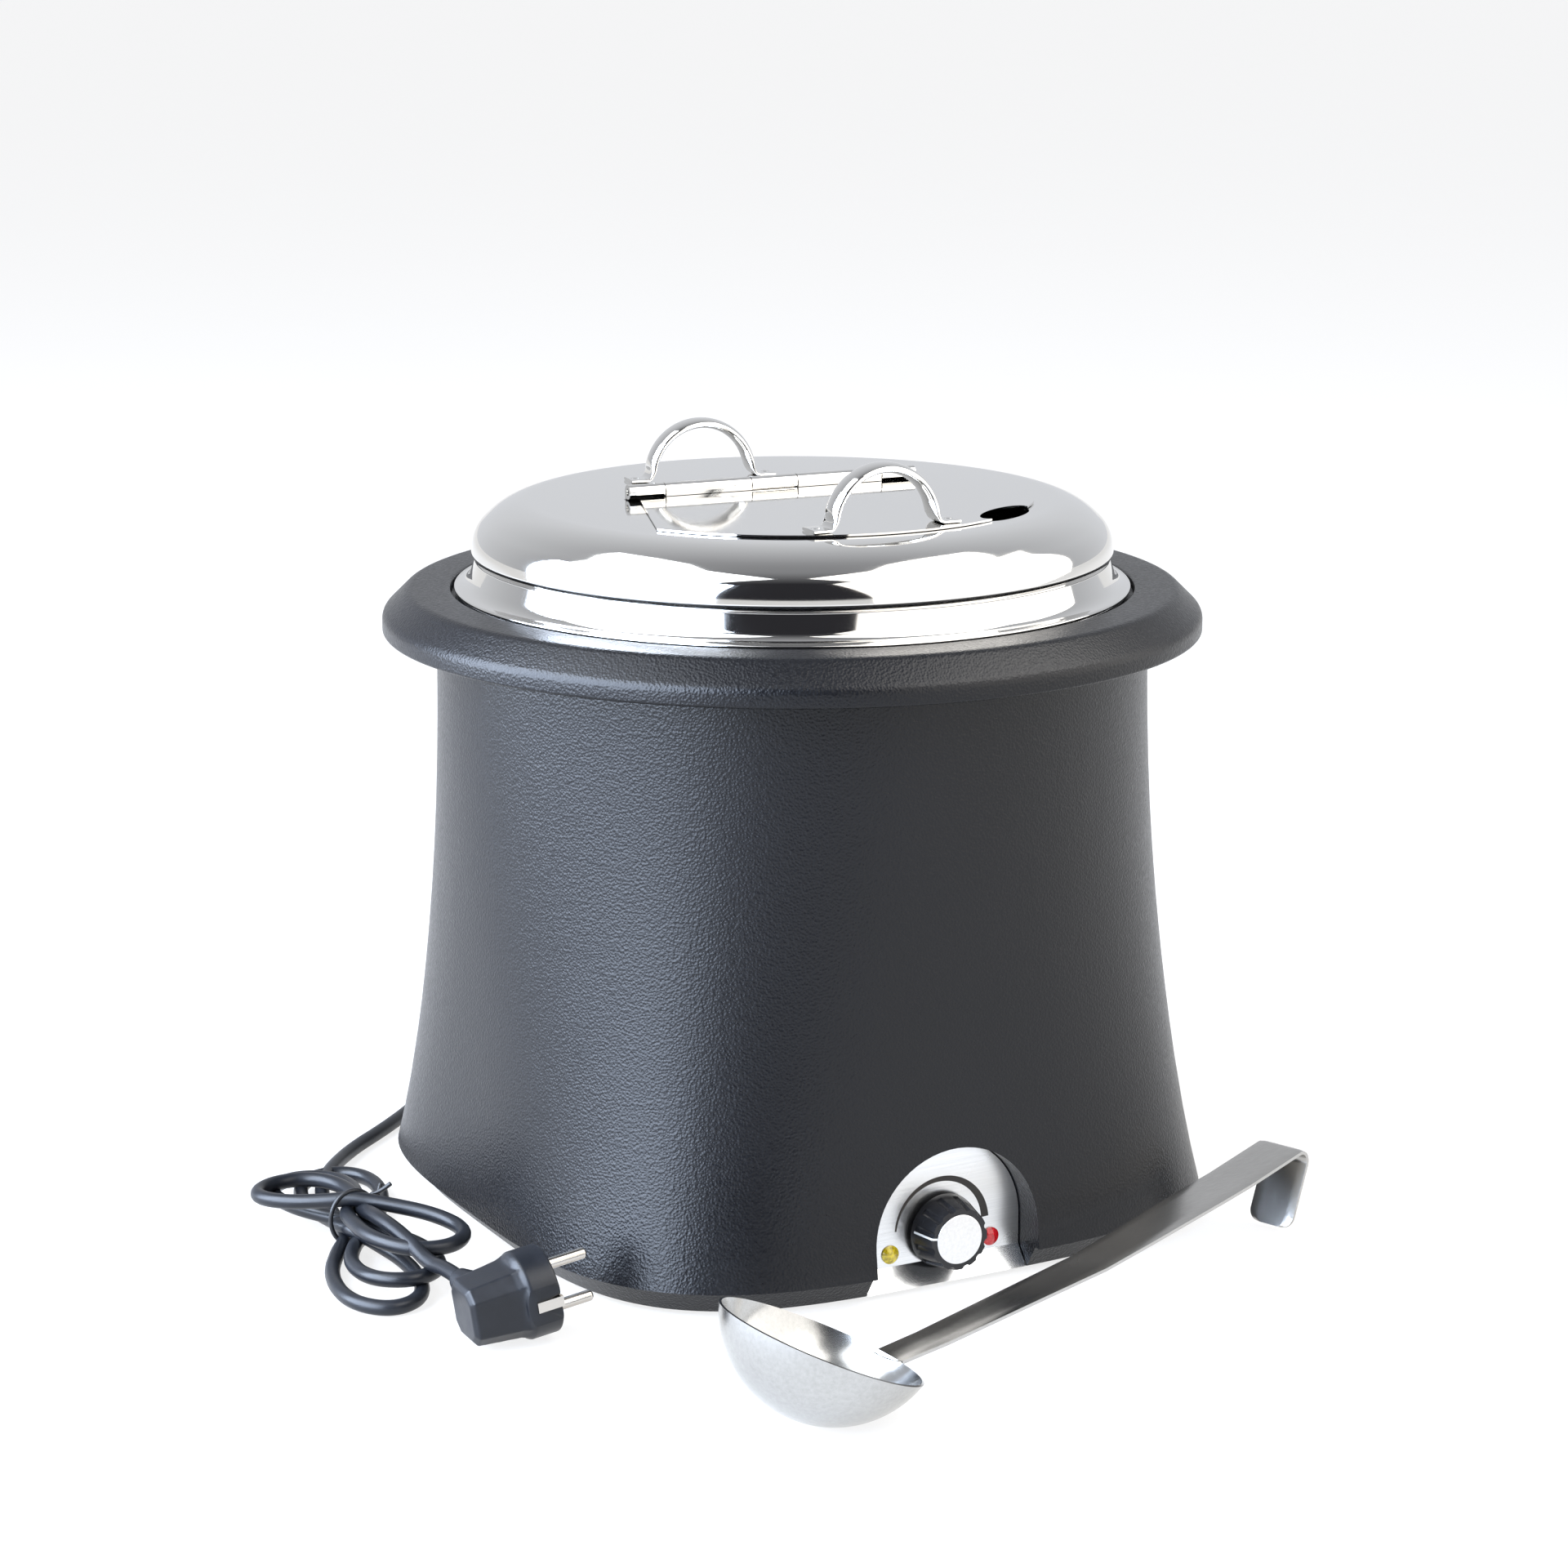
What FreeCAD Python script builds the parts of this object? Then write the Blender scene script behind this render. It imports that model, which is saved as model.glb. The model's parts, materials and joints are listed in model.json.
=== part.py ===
"""Electric soup kettle: heated housing, lift-out pot, hinged lid, mains lead and ladle.

Millimetres, +Z up. The origin is on the kettle's axis, on the surface it stands on.
The control panel faces -Y. Every function below makes one or a few separate pieces.
"""
import FreeCAD, Part

import math
import os

Vec = FreeCAD.Vector
X_AXIS = Vec(1, 0, 0)
Y_AXIS = Vec(0, 1, 0)
Z_AXIS = Vec(0, 0, 1)

# Housing and base: round at the top, a rounded square at the foot
TRAY_Z = 2.5                 # underside of the base tray, held up by its feet
BAND_TOP = 13.0              # top of the tray's band, where the housing starts
BODY_TOP = 262.0
BODY_RISE = 258.0            # height at which the section has become a circle
TOP_RADIUS = 156.0
FOOT_FLARE = 7.5             # how much wider the housing is at its foot
FLARE_POWER = 5.3
FOOT_SQUARENESS = 1.5        # added to the exponent 2 of a circle
SQUARE_POWER = 2.2
HOUSING_WALL = 3.0
TRAY_HALF_LOW = 151.5
TRAY_HALF_HIGH = 158.5
TRAY_EXPONENT = 3.6
SECTION_POINTS = 40
BOSS_AT = 115.0              # base screw bosses, on the diagonals
BOSS_RADIUS = 5.5
FOOT_AT = 96.0
LIP_Z = 250.5                # ledge inside the housing that carries the pan
LIP_INNER = 141.0
SEAL_THICK = 2.5

# Top ring
RING_TOP = 276.8
RING_FLAT_RADIUS = 168.5
RING_RADIUS = 179.5
RING_BEVEL_Z = 266.0
RING_LOW = 258.2
RING_WALL = 3.2
LEDGE_Z = 273.0              # step that the pot's rim rests on
LEDGE_RADIUS = 149.5
RING_BORE = 133.0
RING_SCREW_AT = 146.0

# Well, pot and lid
PAN_RADIUS = 136.6
PAN_SHEET = 1.2
PAN_FLOOR = 55.0
POT_RADIUS = 129.5
POT_FLOOR = 62.0
POT_SHEET = 1.0
POT_RIM_RADIUS = 145.5
LID_SHEET = 0.8
LID_RADIUS = 147.5
LID_TOP = 314.4
LID_TURN = -4.0              # the lid stands a little turned on the pot
GAP = 0.3                    # between pieces that move on each other

# Flap, its hinge and the lid's handles, in the lid's own directions
FLAP_RADIUS = 106.0
FLAP_OVERLAP = 6.0
FLAP_SIDE = 88.0             # half width where the side seams meet the front arc
FLAP_HINGE_HALF = 66.0
HINGE_Y = 19.0
HINGE_LOW_X = -70.0
KNUCKLES = (17.0, 41.0, 22.0, 41.0, 17.0)
HINGE_RADIUS = 3.2
PIN_RADIUS = 1.5
PIN_CLEARANCE = 0.05
HINGE_Z = LID_TOP + 3.6
NOTCH_AT = (62.8, -80.4)
NOTCH_LONG = 19.0
NOTCH_SHORT = 7.5
HANDLE_RADIUS = 23.5
HANDLE_LEG = 1.4
HANDLE_WIDE = 12.0
HANDLE_THICK = 4.6

# Control panel, set into an arched recess in the front face
PANEL_X = -7.0
PANEL_Z = 24.2
PANEL_Y = -145.0
PANEL_SHEET = 1.2
PANEL_FOLD_Z = 11.0          # below this the panel slopes out over the base band
RECESS_RADIUS = 39.0
PANEL_RADIUS = 38.5
RECESS_WALL = 3.0
LAMP_OUT = 24.4
LAMP_DROP = 7.7
LAMP_RADIUS = 3.5
LAMP_BODY_RADIUS = 2.8
KNOB_RADIUS = 16.0
KNOB_FRONT_RADIUS = 13.4
KNOB_DEPTH = 13.2
KNOB_STAND_OFF = 2.8         # between the panel and the knob's back
KNOB_FLUTES = 12
CAP_RADIUS = 10.7
SHAFT_RADIUS = 3.0
BUSH_RADIUS = 4.9

# Heating parts under the well
ELEMENT_RADIUS = 85.0
ELEMENT_TUBE = 4.2

# Mains lead: a gland in the rear face, a tied hank and an angled earthed plug
CORD_RADIUS = 3.3
GLAND_X = 20.0
GLAND_Z = 24.0
GLAND_END_Y = 189.0
LEAD_ROUTE = [
    (20, 189, 24), (20, 210, 22.5), (9, 231, 15), (-12, 243, 7), (-38, 241, 3.6), (-63, 225, 3.4),
    (-88, 201, 3.4), (-112, 172, 3.4), (-138, 147, 3.4), (-167, 123, 3.4), (-191, 92, 5.0),
]
TAIL_ROUTE = [(-204.0, -59.5, 14.6), (-202.3, -73.5, 17.0), (-202.5, -87.1, 17.2)]
HANK_HEIGHT = 25.0
HANK_REAR = (-207, 66, 33.0)
HANK_FRONT = (-207, -42, 31.0)
TIE_AT = (-209, 12)
PLUG_FACE = (-179.0, -122.0, 20.9)
PLUG_TILT = 8.5
PLUG_TURN = -2.0
PLUG_RADIUS = 18.5
PLUG_LENGTH = 37.0
PLUG_NECK_BACK = 28.0
PIN_SPACING = 19.0
PLUG_PIN_RADIUS = 2.4
PLUG_PIN_LENGTH = 19.0

# Ladle, lying in front of the kettle
LADLE_AT = (-118.4, -254.2)
LADLE_TURN = 19.9
BOWL_RADIUS = 44.4
BOWL_SHEET = 1.0
BOWL_DEPTH = 31.5
BOWL_TILT = 24.8
BOWL_LEAN = -21.0             # direction the bowl tips in, from the strap's own
STRAP_THICK = 2.2
STRAP_NARROW = 15.5
STRAP_WIDE = 22.5
STRAP_START = 31.5
STRAP_END = 305.0


def save(shape, name):
    """Writes one piece, after making sure that it is closed and not empty."""
    if not shape.isValid() or shape.Volume <= 0:
        raise RuntimeError("piece " + name + " is not a valid solid")
    shape.exportStep("parts/" + name + ".step")
    print(name, "solids", len(shape.Solids), "volume", round(shape.Volume))


def rod(radius, start, end):
    """Round bar between two points."""
    start = Vec(*start)
    along = Vec(*end) - start
    return Part.makeCylinder(radius, along.Length, start, along)


def ring_solid(inner, outer, low, high):
    """Flat ring about the kettle's axis."""
    height = high - low
    disc = Part.makeCylinder(outer, height, Vec(0, 0, low))
    return disc.cut(Part.makeCylinder(inner, height, Vec(0, 0, low)))


def block(low, high):
    """Box between two corners."""
    size = Vec(*high) - Vec(*low)
    return Part.makeBox(size.x, size.y, size.z, Vec(*low))


def hex_nut(across, thick, bore, centre, direction):
    """Hexagon nut whose face lies at centre."""
    corner = across / math.sqrt(3)
    points = [Vec(corner * math.cos(i * math.pi / 3), corner * math.sin(i * math.pi / 3), 0) for i in range(7)]
    nut = Part.Face(Part.makePolygon(points)).extrude(Vec(0, 0, thick))
    nut = nut.cut(Part.makeCylinder(bore, thick))
    nut.Placement = FreeCAD.Placement(Vec(*centre), FreeCAD.Rotation(Z_AXIS, Vec(*direction)))
    return nut


def offset_corner(before, corner, after, distance):
    """Corner of a polyline moved sideways by distance, as (x, y) pairs."""
    first = unit_pair(before, corner)
    second = unit_pair(corner, after)
    normal_a = (-first[1], first[0])
    normal_b = (-second[1], second[0])
    scale = distance / (1 + normal_a[0] * normal_b[0] + normal_a[1] * normal_b[1])
    return (corner[0] + scale * (normal_a[0] + normal_b[0]), corner[1] + scale * (normal_a[1] + normal_b[1]))


def unit_pair(start, end):
    """Direction between two (x, y) pairs."""
    length = math.hypot(end[0] - start[0], end[1] - start[1])
    return ((end[0] - start[0]) / length, (end[1] - start[1]) / length)


def rounded_edges(points, radii):
    """Lines and tangent arcs along points; radii holds one radius for each inner point."""
    edges = []
    start = points[0]
    for before, corner, after, radius in zip(points, points[1:], points[2:], radii):
        way_in = (corner - before).normalize()
        way_out = (after - corner).normalize()
        turn = way_in.getAngle(way_out)
        reach = radius * math.tan(turn / 2)
        arc_start = corner - way_in * reach
        arc_end = corner + way_out * reach
        centre = arc_start + (way_out - way_in * math.cos(turn)).normalize() * radius
        middle = centre + (corner - centre).normalize() * radius
        if (arc_start - start).Length > 1e-6:
            edges.append(Part.LineSegment(start, arc_start).toShape())
        edges.append(Part.Arc(arc_start, middle, arc_end).toShape())
        start = arc_end
    edges.append(Part.LineSegment(start, points[-1]).toShape())
    return edges


def side_of_strip(points, radii, distance):
    """One side of a strip in the XZ plane: its middle line moved by distance."""
    first = unit_pair(points[0], points[1])
    last = unit_pair(points[-2], points[-1])
    moved = [(points[0][0] - first[1] * distance, points[0][1] + first[0] * distance)]
    changed = []
    for before, corner, after, radius in zip(points, points[1:], points[2:], radii):
        moved.append(offset_corner(before, corner, after, distance))
        way_in = unit_pair(before, corner)
        way_out = unit_pair(corner, after)
        left = way_in[0] * way_out[1] - way_in[1] * way_out[0] > 0
        changed.append(radius - distance if left else radius + distance)
    moved.append((points[-1][0] - last[1] * distance, points[-1][1] + last[0] * distance))
    return rounded_edges([Vec(x, 0, z) for x, z in moved], changed)


def strip_face(points, radii, thick):
    """Bent strip of sheet in the XZ plane, with rounded corners."""
    left = side_of_strip(points, radii, thick / 2)
    right = side_of_strip(points, radii, -thick / 2)
    starts = (left[0].firstVertex().Point, right[0].firstVertex().Point)
    ends = (left[-1].lastVertex().Point, right[-1].lastVertex().Point)
    caps = [Part.LineSegment(*starts).toShape(), Part.LineSegment(*ends).toShape()]
    return Part.Face(Part.Wire(Part.__sortEdges__(left + right + caps)))


def spun(points, radii, thick):
    """Sheet-metal form turned about the kettle's axis."""
    return strip_face(points, radii, thick).revolve(Vec(0, 0, 0), Z_AXIS, 360)


def turned(outline):
    """Solid turned about the kettle's axis from a closed (radius, z) outline."""
    points = [Vec(r, 0, z) for r, z in outline]
    return Part.Face(Part.makePolygon(points + points[:1])).revolve(Vec(0, 0, 0), Z_AXIS, 360)


def rounded_square(half, exponent, z):
    """Closed curve |x|^n + |y|^n = half^n, which is a circle where n is 2."""
    points = []
    for i in range(SECTION_POINTS):
        angle = 2 * math.pi * i / SECTION_POINTS
        c = math.cos(angle)
        s = math.sin(angle)
        reach = half / (abs(c) ** exponent + abs(s) ** exponent) ** (1 / exponent)
        points.append(Vec(reach * c, reach * s, z))
    curve = Part.BSplineCurve()
    curve.interpolate(points, PeriodicFlag=True)
    return Part.Wire([curve.toShape()])


def body_half(z):
    """Half width of the housing's flat sides at height z."""
    drop = max(0.0, 1 - z / BODY_RISE)
    return TOP_RADIUS + FOOT_FLARE * drop ** FLARE_POWER


def body_exponent(z):
    """How square the housing's section is at height z; 2 is a circle."""
    drop = max(0.0, 1 - z / BODY_RISE)
    return 2 + FOOT_SQUARENESS * drop ** SQUARE_POWER


def body_form(inset, low, high):
    """Solid form of the housing, inset from its outer face, between two heights."""
    heights = [low, 28, 46, 68, 100, 140, 190, high]
    sections = [rounded_square(body_half(z) - inset, body_exponent(z), z) for z in heights]
    return Part.makeLoft(sections, True, False)


def tray_form(inset, low, high):
    """Solid form of the tray's band, inset from its outer face."""
    def section(z):
        share = (z - TRAY_Z) / (BAND_TOP - TRAY_Z)
        half = TRAY_HALF_LOW + share * (TRAY_HALF_HIGH - TRAY_HALF_LOW)
        return rounded_square(half - inset, TRAY_EXPONENT, z)
    return Part.makeLoft([section(low), section(high)], True, True)


def arch_prism(radius, y_low, y_high):
    """Arched opening's form: a half round over straight sides that run down to the foot."""
    side = PANEL_X + radius
    other = PANEL_X - radius
    edges = [
        Part.LineSegment(Vec(other, y_low, 0), Vec(side, y_low, 0)).toShape(),
        Part.LineSegment(Vec(side, y_low, 0), Vec(side, y_low, PANEL_Z)).toShape(),
        Part.Arc(
            Vec(side, y_low, PANEL_Z), Vec(PANEL_X, y_low, PANEL_Z + radius), Vec(other, y_low, PANEL_Z)
        ).toShape(),
        Part.LineSegment(Vec(other, y_low, PANEL_Z), Vec(other, y_low, 0)).toShape(),
    ]
    return Part.Face(Part.Wire(edges)).extrude(Vec(0, y_high - y_low, 0))


def diagonals(distance):
    """The four points at the same distance out along both X and Y."""
    return [(sx * distance, sy * distance) for sx in (-1, 1) for sy in (-1, 1)]


def ring_screw_points():
    """Where the four screws hold the top ring, on the diagonals of a circle."""
    reach = RING_SCREW_AT / math.sqrt(2)
    return diagonals(reach)


def make_housing():
    """Moulded housing with a ledge for the well, screw bosses and the panel's recess."""
    outer = body_form(0, BAND_TOP, BODY_TOP)
    shell = outer.cut(body_form(HOUSING_WALL, BAND_TOP, BODY_TOP))
    ledge = Part.makeCylinder(TOP_RADIUS - 1, SEAL_THICK + 0.5, Vec(0, 0, LIP_Z))
    shell = shell.fuse(ledge.cut(Part.makeCylinder(LIP_INNER, SEAL_THICK + 0.5, Vec(0, 0, LIP_Z))))
    within_wall = body_form(HOUSING_WALL / 2, BAND_TOP, BODY_TOP)
    for x, y in diagonals(BOSS_AT):
        boss = Part.makeCylinder(BOSS_RADIUS, 24, Vec(x, y, BAND_TOP))
        rib = Part.makeBox(30, 3, 24, Vec(0, -1.5, BAND_TOP))
        rib.rotate(Vec(0, 0, 0), Z_AXIS, math.degrees(math.atan2(y, x)))
        rib.translate(Vec(x, y, 0))
        shell = shell.fuse(boss.fuse(rib.common(within_wall)))
    pocket = arch_prism(RECESS_RADIUS + RECESS_WALL, -175, PANEL_Y + PANEL_SHEET + RECESS_WALL)
    shell = shell.fuse(pocket.common(within_wall))
    shell = shell.cut(arch_prism(RECESS_RADIUS, -175, PANEL_Y + PANEL_SHEET))
    for x, y in diagonals(BOSS_AT):
        shell = shell.cut(Part.makeCylinder(1.7, 18, Vec(x, y, BAND_TOP)))
    for x, y in ring_screw_points():
        shell = shell.cut(Part.makeCylinder(2.2, 10, Vec(x, y, LIP_Z - 2)))
    for tool in panel_hole_tools(LAMP_BODY_RADIUS):
        shell = shell.cut(tool)
    return shell.cut(rod(7.1, (GLAND_X, 140, GLAND_Z), (GLAND_X, 175, GLAND_Z)))


def panel_hole_tools(lamp_radius):
    """Bars that cut the holes for the thermostat's bush and the two lamps."""
    low = PANEL_Y - 15
    high = PANEL_Y + 15
    tools = [rod(BUSH_RADIUS + 0.15, (PANEL_X, low, PANEL_Z), (PANEL_X, high, PANEL_Z))]
    for side in (-1, 1):
        x = PANEL_X + side * LAMP_OUT
        z = PANEL_Z - LAMP_DROP
        tools.append(rod(lamp_radius, (x, low, z), (x, high, z)))
    return tools


def make_base_tray():
    """Base moulding: floor, band with the panel's recess, screw posts and vents."""
    outer = tray_form(0, TRAY_Z, BAND_TOP)
    tray = outer.cut(tray_form(HOUSING_WALL, TRAY_Z + 3, BAND_TOP))
    back = PANEL_Y + PANEL_SHEET
    pocket = arch_prism(RECESS_RADIUS + RECESS_WALL, -175, back + RECESS_WALL)
    tray = tray.fuse(pocket.common(tray_form(HOUSING_WALL / 2, TRAY_Z + 1, BAND_TOP)))
    for x, y in diagonals(BOSS_AT):
        tray = tray.fuse(Part.makeCylinder(BOSS_RADIUS, BAND_TOP - TRAY_Z, Vec(x, y, TRAY_Z)))
    tray = tray.cut(arch_prism(RECESS_RADIUS, -175, back))
    for x, y in diagonals(BOSS_AT):
        tray = tray.cut(Part.makeCylinder(2.2, 20, Vec(x, y, 0)))
        tray = tray.cut(Part.makeCylinder(4.2, 3, Vec(x, y, TRAY_Z)))
    for x, y in diagonals(FOOT_AT):
        tray = tray.cut(Part.makeCylinder(4.0, 10, Vec(x, y, 0)))
    for i in range(-3, 4):
        tray = tray.cut(block((i * 12 - 2, -45, 0), (i * 12 + 2, 45, 10)))
    return tray


def make_foot(x, y):
    """Push-in rubber foot with a retaining bead above the tray's floor."""
    pad = Part.makeCylinder(11, TRAY_Z, Vec(x, y, 0))
    pad = pad.makeFillet(0.8, [pad.Edges[0]])
    stem = Part.makeCylinder(4.0, 3, Vec(x, y, TRAY_Z))
    bead = Part.makeCone(5.4, 3.4, 3, Vec(x, y, TRAY_Z + 3))
    return pad.fuse(stem).fuse(bead)


def make_base_screws():
    """Four screws that hold the tray to the housing."""
    screws = []
    for x, y in diagonals(BOSS_AT):
        head = Part.makeCylinder(4.0, 2.4, Vec(x, y, TRAY_Z + 0.6))
        shank = Part.makeCylinder(1.7, 24, Vec(x, y, TRAY_Z + 3))
        slot = Part.makeBox(5, 1, 1.2, Vec(x - 2.5, y - 0.5, TRAY_Z + 0.6))
        screws.append(head.fuse(shank).cut(slot))
    return Part.makeCompound(screws)


def make_top_ring():
    """Broad moulded collar round the top, with the step that carries the pot."""
    wall = RING_WALL
    bevel = wall * 0.72
    outline = [
        (RING_BORE, LEDGE_Z), (LEDGE_RADIUS, LEDGE_Z), (LEDGE_RADIUS, RING_TOP),
        (RING_FLAT_RADIUS, RING_TOP), (RING_RADIUS, RING_BEVEL_Z), (RING_RADIUS, RING_LOW),
        (RING_RADIUS - wall, RING_LOW), (RING_RADIUS - wall, RING_BEVEL_Z - bevel),
        (RING_FLAT_RADIUS - bevel, RING_TOP - wall), (152.4, RING_TOP - wall), (152.4, LIP_Z + 6.7),
        (149.6, LIP_Z + 6.7), (149.6, LEDGE_Z - wall), (RING_BORE + 3, LEDGE_Z - wall),
        (RING_BORE + 3, LEDGE_Z - 8), (RING_BORE, LEDGE_Z - 8),
    ]
    ring = turned(outline)
    floor = LIP_Z + 6.7
    for x, y in ring_screw_points():
        boss = Part.makeCylinder(5, LEDGE_Z - wall - floor + 0.5, Vec(x, y, floor))
        ring = ring.fuse(boss).cut(Part.makeCylinder(1.7, 11, Vec(x, y, floor)))
    return ring


def make_ring_screws():
    """Four screws up through the ledge, seal and well into the top ring."""
    screws = []
    for x, y in ring_screw_points():
        head = Part.makeCylinder(3.8, 2.2, Vec(x, y, LIP_Z - 2.2))
        shank = Part.makeCylinder(1.7, 17, Vec(x, y, LIP_Z))
        slot = Part.makeBox(5, 1, 1, Vec(x - 2.5, y - 0.5, LIP_Z - 2.2))
        screws.append(head.fuse(shank).cut(slot))
    return Part.makeCompound(screws)


def make_seal_ring():
    """Rubber seal between the housing's ledge and the well's flange."""
    low = LIP_Z + 3
    seal = ring_solid(LIP_INNER, 151.3, low, low + SEAL_THICK)
    for x, y in ring_screw_points():
        seal = seal.cut(Part.makeCylinder(2.2, 6, Vec(x, y, low - 1)))
    return seal


def make_water_pan():
    """Water well: deep drawn pan with a flange and a stud for the element's clamp."""
    floor = PAN_FLOOR + PAN_SHEET / 2
    flange = LIP_Z + 3 + SEAL_THICK + PAN_SHEET / 2
    points = [(0, floor), (PAN_RADIUS, floor), (PAN_RADIUS, flange), (151.3, flange)]
    pan = spun(points, [8, 2], PAN_SHEET)
    for x, y in ring_screw_points():
        pan = pan.cut(Part.makeCylinder(2.2, 6, Vec(x, y, flange - 3)))
    return pan.fuse(Part.makeCylinder(2.5, 17, Vec(0, 0, PAN_FLOOR - 16.5)))


def make_heating_element():
    """Tubular ring element pressed against the underside of the well."""
    z = PAN_FLOOR - ELEMENT_TUBE - 0.1
    tube = Part.makeTorus(ELEMENT_RADIUS, ELEMENT_TUBE, Vec(0, 0, z), Z_AXIS, 0, 360, 330)
    for degrees in (3, 327):
        angle = math.radians(degrees)
        x = ELEMENT_RADIUS * math.cos(angle)
        y = ELEMENT_RADIUS * math.sin(angle)
        tube = tube.fuse(Part.makeCylinder(ELEMENT_TUBE - 0.8, 16, Vec(x, y, z - 16)))
        tube = tube.fuse(Part.makeCylinder(1.6, 8, Vec(x, y, z - 23)))
    tube.rotate(Vec(0, 0, 0), Z_AXIS, 105)
    return tube


def make_element_clamp():
    """Flat bar that holds the element up against the well."""
    top = PAN_FLOOR - 2 * ELEMENT_TUBE - 0.1
    bar = block((-100, -9, top - 2), (100, 9, top))
    return bar.cut(Part.makeCylinder(2.7, 6, Vec(0, 0, top - 4)))


def make_heating_controls():
    """Cut-out, sensor bulb, its clip and the capillary, all under the well."""
    cutout = Part.makeCylinder(8, 6, Vec(32, 44, PAN_FLOOR - 6))
    tabs = block((22, 41, PAN_FLOOR - 9), (42, 47, PAN_FLOOR - 8.2))
    legs = block((22, 41, PAN_FLOOR - 9), (22.8, 47, PAN_FLOOR)).fuse(
        block((41.2, 41, PAN_FLOOR - 9), (42, 47, PAN_FLOOR))
    )
    cutout = cutout.fuse(tabs.fuse(legs))
    cutout = cutout.fuse(Part.makeCylinder(3, 3, Vec(32, 44, PAN_FLOOR - 8.6)))
    bulb_z = PAN_FLOOR - 3.1
    bulb = rod(3, (-46, -38, bulb_z), (14, -38, bulb_z))
    clip = block((-22, -44, bulb_z - 4), (-10, -32, PAN_FLOOR)).cut(
        rod(3, (-46, -38, bulb_z), (14, -38, bulb_z))
    )
    clip = clip.cut(block((-22, -41, bulb_z), (-10, -35, PAN_FLOOR)))
    route = [(-46, -38, bulb_z), (-60, -40, 50), (-62, -62, 44), (-40, -92, 40), (-14, -112, 38)]
    capillary = tube_along(route, 0.8, "capillary")
    return cutout, bulb, clip, capillary


def make_thermostat():
    """Thermostat body with its threaded bush, and the nut that holds it to the panel."""
    back = PANEL_Y + PANEL_SHEET + RECESS_WALL
    case = block((PANEL_X - 17, back, 7), (PANEL_X + 17, back + 29, 42))
    bush = rod(BUSH_RADIUS, (PANEL_X, back + 1, PANEL_Z), (PANEL_X, PANEL_Y - 3.4, PANEL_Z))
    body = case.fuse(bush)
    bore = SHAFT_RADIUS + PIN_CLEARANCE
    body = body.cut(rod(bore, (PANEL_X, back + 10, PANEL_Z), (PANEL_X, PANEL_Y - 5, PANEL_Z)))
    for dx in (-9, 9):
        tab = block((PANEL_X + dx - 3, back + 29, 20), (PANEL_X + dx + 3, back + 36, 21))
        body = body.fuse(tab)
    nut = hex_nut(14, 2.4, BUSH_RADIUS, (PANEL_X, PANEL_Y, PANEL_Z), (0, -1, 0))
    return body, nut


def make_control_panel():
    """Bent steel panel: upright in the recess and sloping out over the base band."""
    top = PANEL_Z + PANEL_RADIUS + 5
    back = PANEL_Y + PANEL_SHEET
    low = TRAY_Z + 0.1
    profile = [
        (PANEL_Y, top), (PANEL_Y, PANEL_FOLD_Z), (PANEL_Y - 6.6, low), (PANEL_Y - 5.2, low),
        (back, PANEL_FOLD_Z - 0.4), (back, top),
    ]
    points = [Vec(PANEL_X - PANEL_RADIUS, y, z) for y, z in profile]
    sheet = Part.Face(Part.makePolygon(points + points[:1])).extrude(Vec(2 * PANEL_RADIUS, 0, 0))
    sheet = sheet.common(arch_prism(PANEL_RADIUS, -175, -130))
    for tool in panel_hole_tools(LAMP_RADIUS):
        sheet = sheet.cut(tool)
    return sheet


def make_lamp(side):
    """Pilot lamp: coloured lens in the panel and the lamp body behind it."""
    x = PANEL_X + side * LAMP_OUT
    z = PANEL_Z - LAMP_DROP
    middle = PANEL_Y + PANEL_SHEET
    lens = rod(LAMP_RADIUS, (x, middle, z), (x, PANEL_Y - 1.6, z))
    rim = [e for e in lens.Edges if abs(e.CenterOfMass.y - (PANEL_Y - 1.6)) < 0.01]
    lens = lens.makeFillet(1.2, rim)
    body = rod(LAMP_BODY_RADIUS, (x, middle, z), (x, middle + 14, z))
    collar = rod(LAMP_BODY_RADIUS + 1.8, (x, middle + RECESS_WALL, z), (x, middle + RECESS_WALL + 2, z))
    return lens, body.fuse(collar)


def make_knob():
    """Fluted knob with a recess for the nut, its metal cap and the thermostat's shaft."""
    base_y = PANEL_Y - KNOB_STAND_OFF
    front_y = base_y - KNOB_DEPTH
    cone = Part.makeCone(KNOB_RADIUS, KNOB_FRONT_RADIUS, KNOB_DEPTH)
    for i in range(KNOB_FLUTES):
        angle = 2 * math.pi * (i + 0.5) / KNOB_FLUTES
        low = (KNOB_RADIUS + 0.9, 2.6)
        high = (KNOB_FRONT_RADIUS + 0.9, KNOB_DEPTH + 1)
        start = (low[0] * math.cos(angle), low[0] * math.sin(angle), low[1])
        end = (high[0] * math.cos(angle), high[0] * math.sin(angle), high[1])
        cone = cone.cut(rod(2.1, start, end))
    cone = cone.cut(Part.makeCylinder(10, 5))
    cone = cone.cut(Part.makeCylinder(SHAFT_RADIUS, 12))
    cone = cone.cut(Part.makeCylinder(CAP_RADIUS, 1, Vec(0, 0, KNOB_DEPTH - 1)))
    cap = Part.makeCylinder(CAP_RADIUS, 1.3, Vec(0, 0, KNOB_DEPTH - 1))
    cap = cap.makeFillet(0.3, [e for e in cap.Edges if e.CenterOfMass.z > KNOB_DEPTH])
    place = FreeCAD.Placement(Vec(PANEL_X, base_y, PANEL_Z), FreeCAD.Rotation(Z_AXIS, Vec(0, -1, 0)))
    cone.Placement = place
    cap.Placement = place
    shaft = rod(SHAFT_RADIUS, (PANEL_X, PANEL_Y + 8, PANEL_Z), (PANEL_X, front_y + 3.4, PANEL_Z))
    return cone, cap, shaft


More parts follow.
